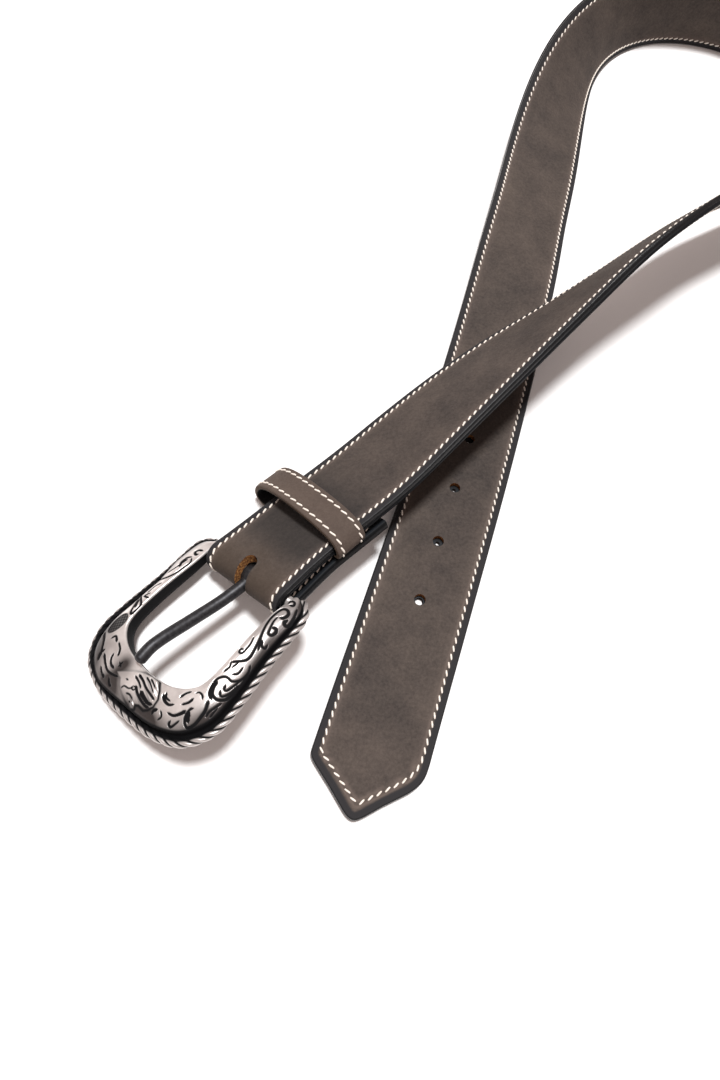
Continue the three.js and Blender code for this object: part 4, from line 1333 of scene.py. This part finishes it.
# %% [markdown]
# ## Black in the cuts
# The black dip stays where polishing can't reach: in the cuts, round the head, in the groove and on the
# inner wall. It could be found by an ambient-occlusion bake, but the cuts' covers are already known here,
# so they are stored on the mesh as recess; round the head it is made stronger towards the raised arm, which
# is painted shade. A second value, shade, is painted shade and painted dark reflection in soft round
# patches on the bow, its corners and the raised arm, and it darkens the face towards the groove.

# %% Black in the cuts
moat = bell(np.minimum(depth_in + 0.3, 0), 0.45) * (1 - horse) * near_horse * on_face
mane = smoothstep(0.2, 0.9, -locks) * smoothstep(0.5, 2.5, v) * smoothstep(0.3, 0.9, depth_in) * (u < 57.0)
dark_places = [
    cut_cover * (1 - horse),
    horse_cover,
    leaf_cover * (0.7 + 0.25 * dimples),
    0.9 * leaf_rim,
    # the dip in the hollow round the head; its stronger side, towards the raised arm, is painted shade of the
    # raised head
    moat * (0.3 + 0.7 * smoothstep(-4.0, 5.0, v)),
    0.35 * mane * horse,
    smoothstep(-0.06, 0.0, share - face_end),
    ones * (column < len(INNER_WALL) - 1),
]
recess = np.clip(np.maximum.reduce(dark_places), 0, 1)
attribute(buckle_body, "recess", 1 - (1 - recess) ** 1.7)
print("share of points that are black:", round(float((recess > 0.5).mean()), 2))

# %% Soft darkening
# painted shade and painted dark reflection: soft round patches that darken the bright face
PAINTED_SHADES = np.array([
    # u, v, radius, strength
    [57.0, -9.5, 4.5, 1.0],
    [50.5, -8.5, 3.6, 0.95],
    [58.5, 10.0, 4.5, 0.9],
    [55.0, 8.0, 3.0, 0.6],
    [58.5, 2.0, 2.5, 0.5],
    [53.0, -22.0, 6.0, 0.55],
    [46.0, -27.0, 5.0, 0.4],
    [46.0, 28.0, 5.0, 0.5],
    [40.0, 30.0, 4.0, 0.4],
    [2.0, 24.0, 8.0, 0.6],
    [13.0, 27.0, 8.0, 0.55],
    [25.0, 31.0, 6.0, 0.35],
])
shade = sum(strength * bell(np.hypot(u - at_u, v - at_v), radius) for at_u, at_v, radius, strength in PAINTED_SHADES)
shade = np.clip(shade * (1 - 0.5 * horse) + 0.75 * smoothstep(-0.4, 0.0, share - face_end), 0, 1)
attribute(buckle_body, "shade", shade * on_face)
finish_piece(buckle_body, "frame", "cast_metal", cast_metal, "buckle_frame")

# %% [markdown]
# ## Rope border
# A rope of three round strands runs round the outside of the frame. It could be three curves with a round
# bevel, twisted about each other, but most of each would be hidden in the middle. So the rope is one skin
# whose section is the outline of three circles, and the section turns as it goes along. The creases between
# the strands, and the side that lies in the groove, are black.

# %% Rope border
STRANDS = 3
STRAND_RADIUS = 0.85
STRAND_OFFSET = 0.7
ROPE_LAY = -12.6
ROPE_HEIGHT = -0.4
ROPE_OUT = (0.0, 0.45)  # outside the plan, on the high side and on the low side
ROPE_SHADE = 0.35
VALLEY = (1.42, 1.16)
INNER_SIDE = (0.3, -0.15)
FRAME_MIDDLE = (25.0, 0.0)


def rope(name, line, lay, hidden, sides=40):
    """Twisted strands along a line: at angle a from the nearest strand's middle, the surface is as far out
    as offset times the cosine plus the root of the radius squared less offset times the sine squared, and
    the strands make one turn in each lay. Hidden says how far round the dark inner side reaches."""
    run = run_along(line)
    tangent = unit(np.gradient(line, run, axis=0))
    up = unit(FACE_UP - (tangent @ FACE_UP)[:, None] * tangent)
    side = np.cross(tangent, up)
    angle = np.linspace(0, 2 * np.pi, sides, endpoint=False)
    turned = STRANDS * (angle - 2 * np.pi * run[:, None] / lay)
    off = np.abs(np.arctan2(np.sin(turned), np.cos(turned))) / STRANDS
    reach = STRAND_OFFSET * np.cos(off) + np.sqrt(STRAND_RADIUS**2 - (STRAND_OFFSET * np.sin(off)) ** 2)
    points = line[:, None] + (reach * np.cos(angle))[..., None] * side[:, None]
    points = points + (reach * np.sin(angle))[..., None] * up[:, None]
    piece = skin(name, points)
    inner = smoothstep(*INNER_SIDE, np.cos(angle) - hidden[:, None])
    attribute(piece, "recess", np.maximum(smoothstep(*VALLEY, reach), inner))
    attribute(piece, "shade", np.full(reach.shape, ROPE_SHADE))
    return piece


outer = whole_plan(700)
outward = unit(np.gradient(outer[:, 2:4], axis=0)) @ np.array([[0.0, -1.0], [1.0, 0.0]])
outward = outward * np.sign(((outer[:, 2:4] - FRAME_MIDDLE) * outward).sum())
on_left = smoothstep(5.0, -15.0, outer[:, 3])
rope_out = ROPE_OUT[0] + (ROPE_OUT[1] - ROPE_OUT[0]) * on_left
rope_plan = outer[:, 2:4] + rope_out[:, None] * outward
rope_line = in_buckle(rope_plan[:, 0], rope_plan[:, 1] + FRAME_SHIFT, ROPE_HEIGHT + 0 * outer[:, 2])
rope_border = rope("rope_border", rope_line, ROPE_LAY, 0.1 * on_left)
finish_piece(rope_border, "frame", "cast_metal", cast_metal)
print("rope of", STRANDS, "strands with one turn in", abs(ROPE_LAY), "mm")

# %% [markdown]
# ## Bar
# The bar joins the frame's two ends inside the fold of the strap. Only a glimpse of it shows, in the slot,
# so it is a plain round rod, half blackened. A primitive cylinder would do, but the grid puts its points in
# the buckle's own coordinates straight away.

# %% Bar
BAR_RADIUS = 2.0
BAR_HALF = 22.0
angle = np.linspace(0, 2 * np.pi, 32, endpoint=False)
bar_v = np.linspace(-BAR_HALF, BAR_HALF, 9)[:, None] + FRAME_SHIFT + 0 * angle
bar_u = BAR_RADIUS * np.cos(angle) + 0 * bar_v
bar_w = BAR_RADIUS * np.sin(angle) + 0 * bar_v
bar = skin("bar", in_buckle(bar_u, bar_v, bar_w))
attribute(bar, "recess", np.full(bar_v.size, 0.5))
finish_piece(bar, "frame", "cast_metal", cast_metal)

# %% [markdown]
# ## Prong
# The prong is one rod of steel, bent to rise over the edge of the frame and rest on the bow, with its root
# rolled into an eye round the bar. A curve with a round bevel would give the rod, but not its rounded tip,
# so a circle is carried along a spline, and its radius falls to nothing as a quarter circle at the tip.

# %% Prong's rod
PRONG_PATH = np.array([
    # u, v, w
    [3.0, -0.3, 0.3],
    [6.5, -0.3, 0.7],
    [14.1, -1.2, 1.7],
    [21.5, -2.0, 3.5],
    [28.4, -2.5, 5.6],
    [34.0, -2.8, 7.5],
    [38.8, -3.0, 8.9],
    [42.0, -3.1, 9.35],
    [45.0, -3.0, 9.3],
    [47.8, -2.9, 9.2],
])
PRONG_RADIUS = 2.2
TIP_LENGTH = 1.6

line = on_spline(PRONG_PATH, spline_bends(PRONG_PATH), np.linspace(0, len(PRONG_PATH) - 1, 120))
tangent = unit(np.gradient(line, axis=0))
side = unit(np.cross(tangent, [0.0, 0.0, 1.0]))
up = np.cross(side, tangent)
into_tip = np.clip(1 - np.linalg.norm(line - line[-1], axis=1) / TIP_LENGTH, 0, 1)
thick = (PRONG_RADIUS * np.sqrt(np.clip(1 - into_tip**2, 0.0025, 1)))[:, None]
angle = np.linspace(0, 2 * np.pi, 28, endpoint=False)
rod = line[:, None] + (thick * np.cos(angle))[..., None] * side[:, None]
rod = rod + (thick * np.sin(angle))[..., None] * up[:, None]
prong_rod = skin("prong_rod", in_buckle(rod[..., 0], rod[..., 1], rod[..., 2]))
finish_piece(prong_rod, "prong", "dark_metal", dark_metal, "prong")

# %% [markdown]
# ## The prong's eye
# The eye is a ring of nearly square section with rounded corners. A torus could be flattened to this, but a
# ring is easily written out: the cosine and the sine round the section are raised to a power below one,
# which pushes a circle out towards a square.

# %% Prong's eye
PRONG_V = -0.4
RING_INNER = 2.3
RING_OUTER = 3.9
CORNER_POWER = 0.6


def squared(c):
    """A cosine or sine with its sign kept and its size raised to the power of the corners."""
    return np.sign(c) * np.abs(c) ** CORNER_POWER


turn = np.linspace(0, 2 * np.pi, 48, endpoint=False)[:, None]
section = np.linspace(0, 2 * np.pi, 20, endpoint=False)[None, :]
middle_radius = (RING_INNER + RING_OUTER) / 2
half_wall = (RING_OUTER - RING_INNER) / 2
ring_r = middle_radius + half_wall * squared(np.cos(section)) + 0 * turn
ring_v = PRONG_V + PRONG_RADIUS * squared(np.sin(section)) + 0 * turn
prong_eye = skin("prong_eye", in_buckle(ring_r * np.cos(turn), ring_v, ring_r * np.sin(turn)), ring_rows=True)
finish_piece(prong_eye, "prong", "dark_metal", dark_metal)

# %% [markdown]
# ## Floor and light
# The belt lies on white paper under one strong lamp almost overhead, which leans a little to the right and
# beyond the belt and is wide enough to soften the shadows' edges. A studio could be built with several area
# lamps, but one sun and an even glow from all sides give the same look: bright paper that the picture shows
# as plain white, and warm grey shadows.

# %% Floor
FLOOR_HALF = 6000.0
FLOOR_HEIGHT = -0.05

paper, tree, shader = new_finish("paper", Roughness=0.9, Emission_Strength=0.05)
shader.inputs["Base Color"].default_value = (0.9, 0.9, 0.9, 1)
shader.inputs["Emission Color"].default_value = (1.0, 0.88, 0.84, 1)
floor_plan = FLOOR_HALF * np.array([[-1, -1], [1, -1], [1, 1], [-1, 1]])
floor_points = np.column_stack([floor_plan, np.full(4, FLOOR_HEIGHT)])
floor = make_piece("floor", floor_points, [[0, 1, 2, 3]], smooth=False)
floor.data.materials.append(paper)
print("floor", FLOOR_HEIGHT, "mm under the belt")

# %% Lamp and glow
LAMP_LEAN = (0.04, 0.12)
LAMP_ENERGY = 3.7
LAMP_WIDTH = math.radians(11)
GLOW_COLOUR = (1.0, 0.82, 0.76, 1)
GLOW_STRENGTH = 0.43

lamp = bpy.data.lights.new("lamp", "SUN")
lamp.energy = LAMP_ENERGY
lamp.angle = LAMP_WIDTH
lamp_object = bpy.data.objects.new("lamp", lamp)
bpy.context.scene.collection.objects.link(lamp_object)
towards = unit(np.array([*LAMP_LEAN, 1.0]))
beside = unit(np.cross([0.0, 1.0, 0.0], towards))
lamp_matrix = np.eye(4)
lamp_matrix[:3, :3] = np.stack([beside, np.cross(towards, beside), towards], axis=1)
lamp_object.matrix_world = Matrix(lamp_matrix.tolist())

world = bpy.data.worlds.new("studio")
bpy.context.scene.world = world
world.use_nodes = True
background = next(n for n in world.node_tree.nodes if n.type == "BACKGROUND")
background.inputs["Color"].default_value = GLOW_COLOUR
background.inputs["Strength"].default_value = GLOW_STRENGTH
bpy.context.scene.view_settings.view_transform = "Standard"
print("the lamp leans", round(math.degrees(math.acos(towards[2])), 1), "degrees from overhead")
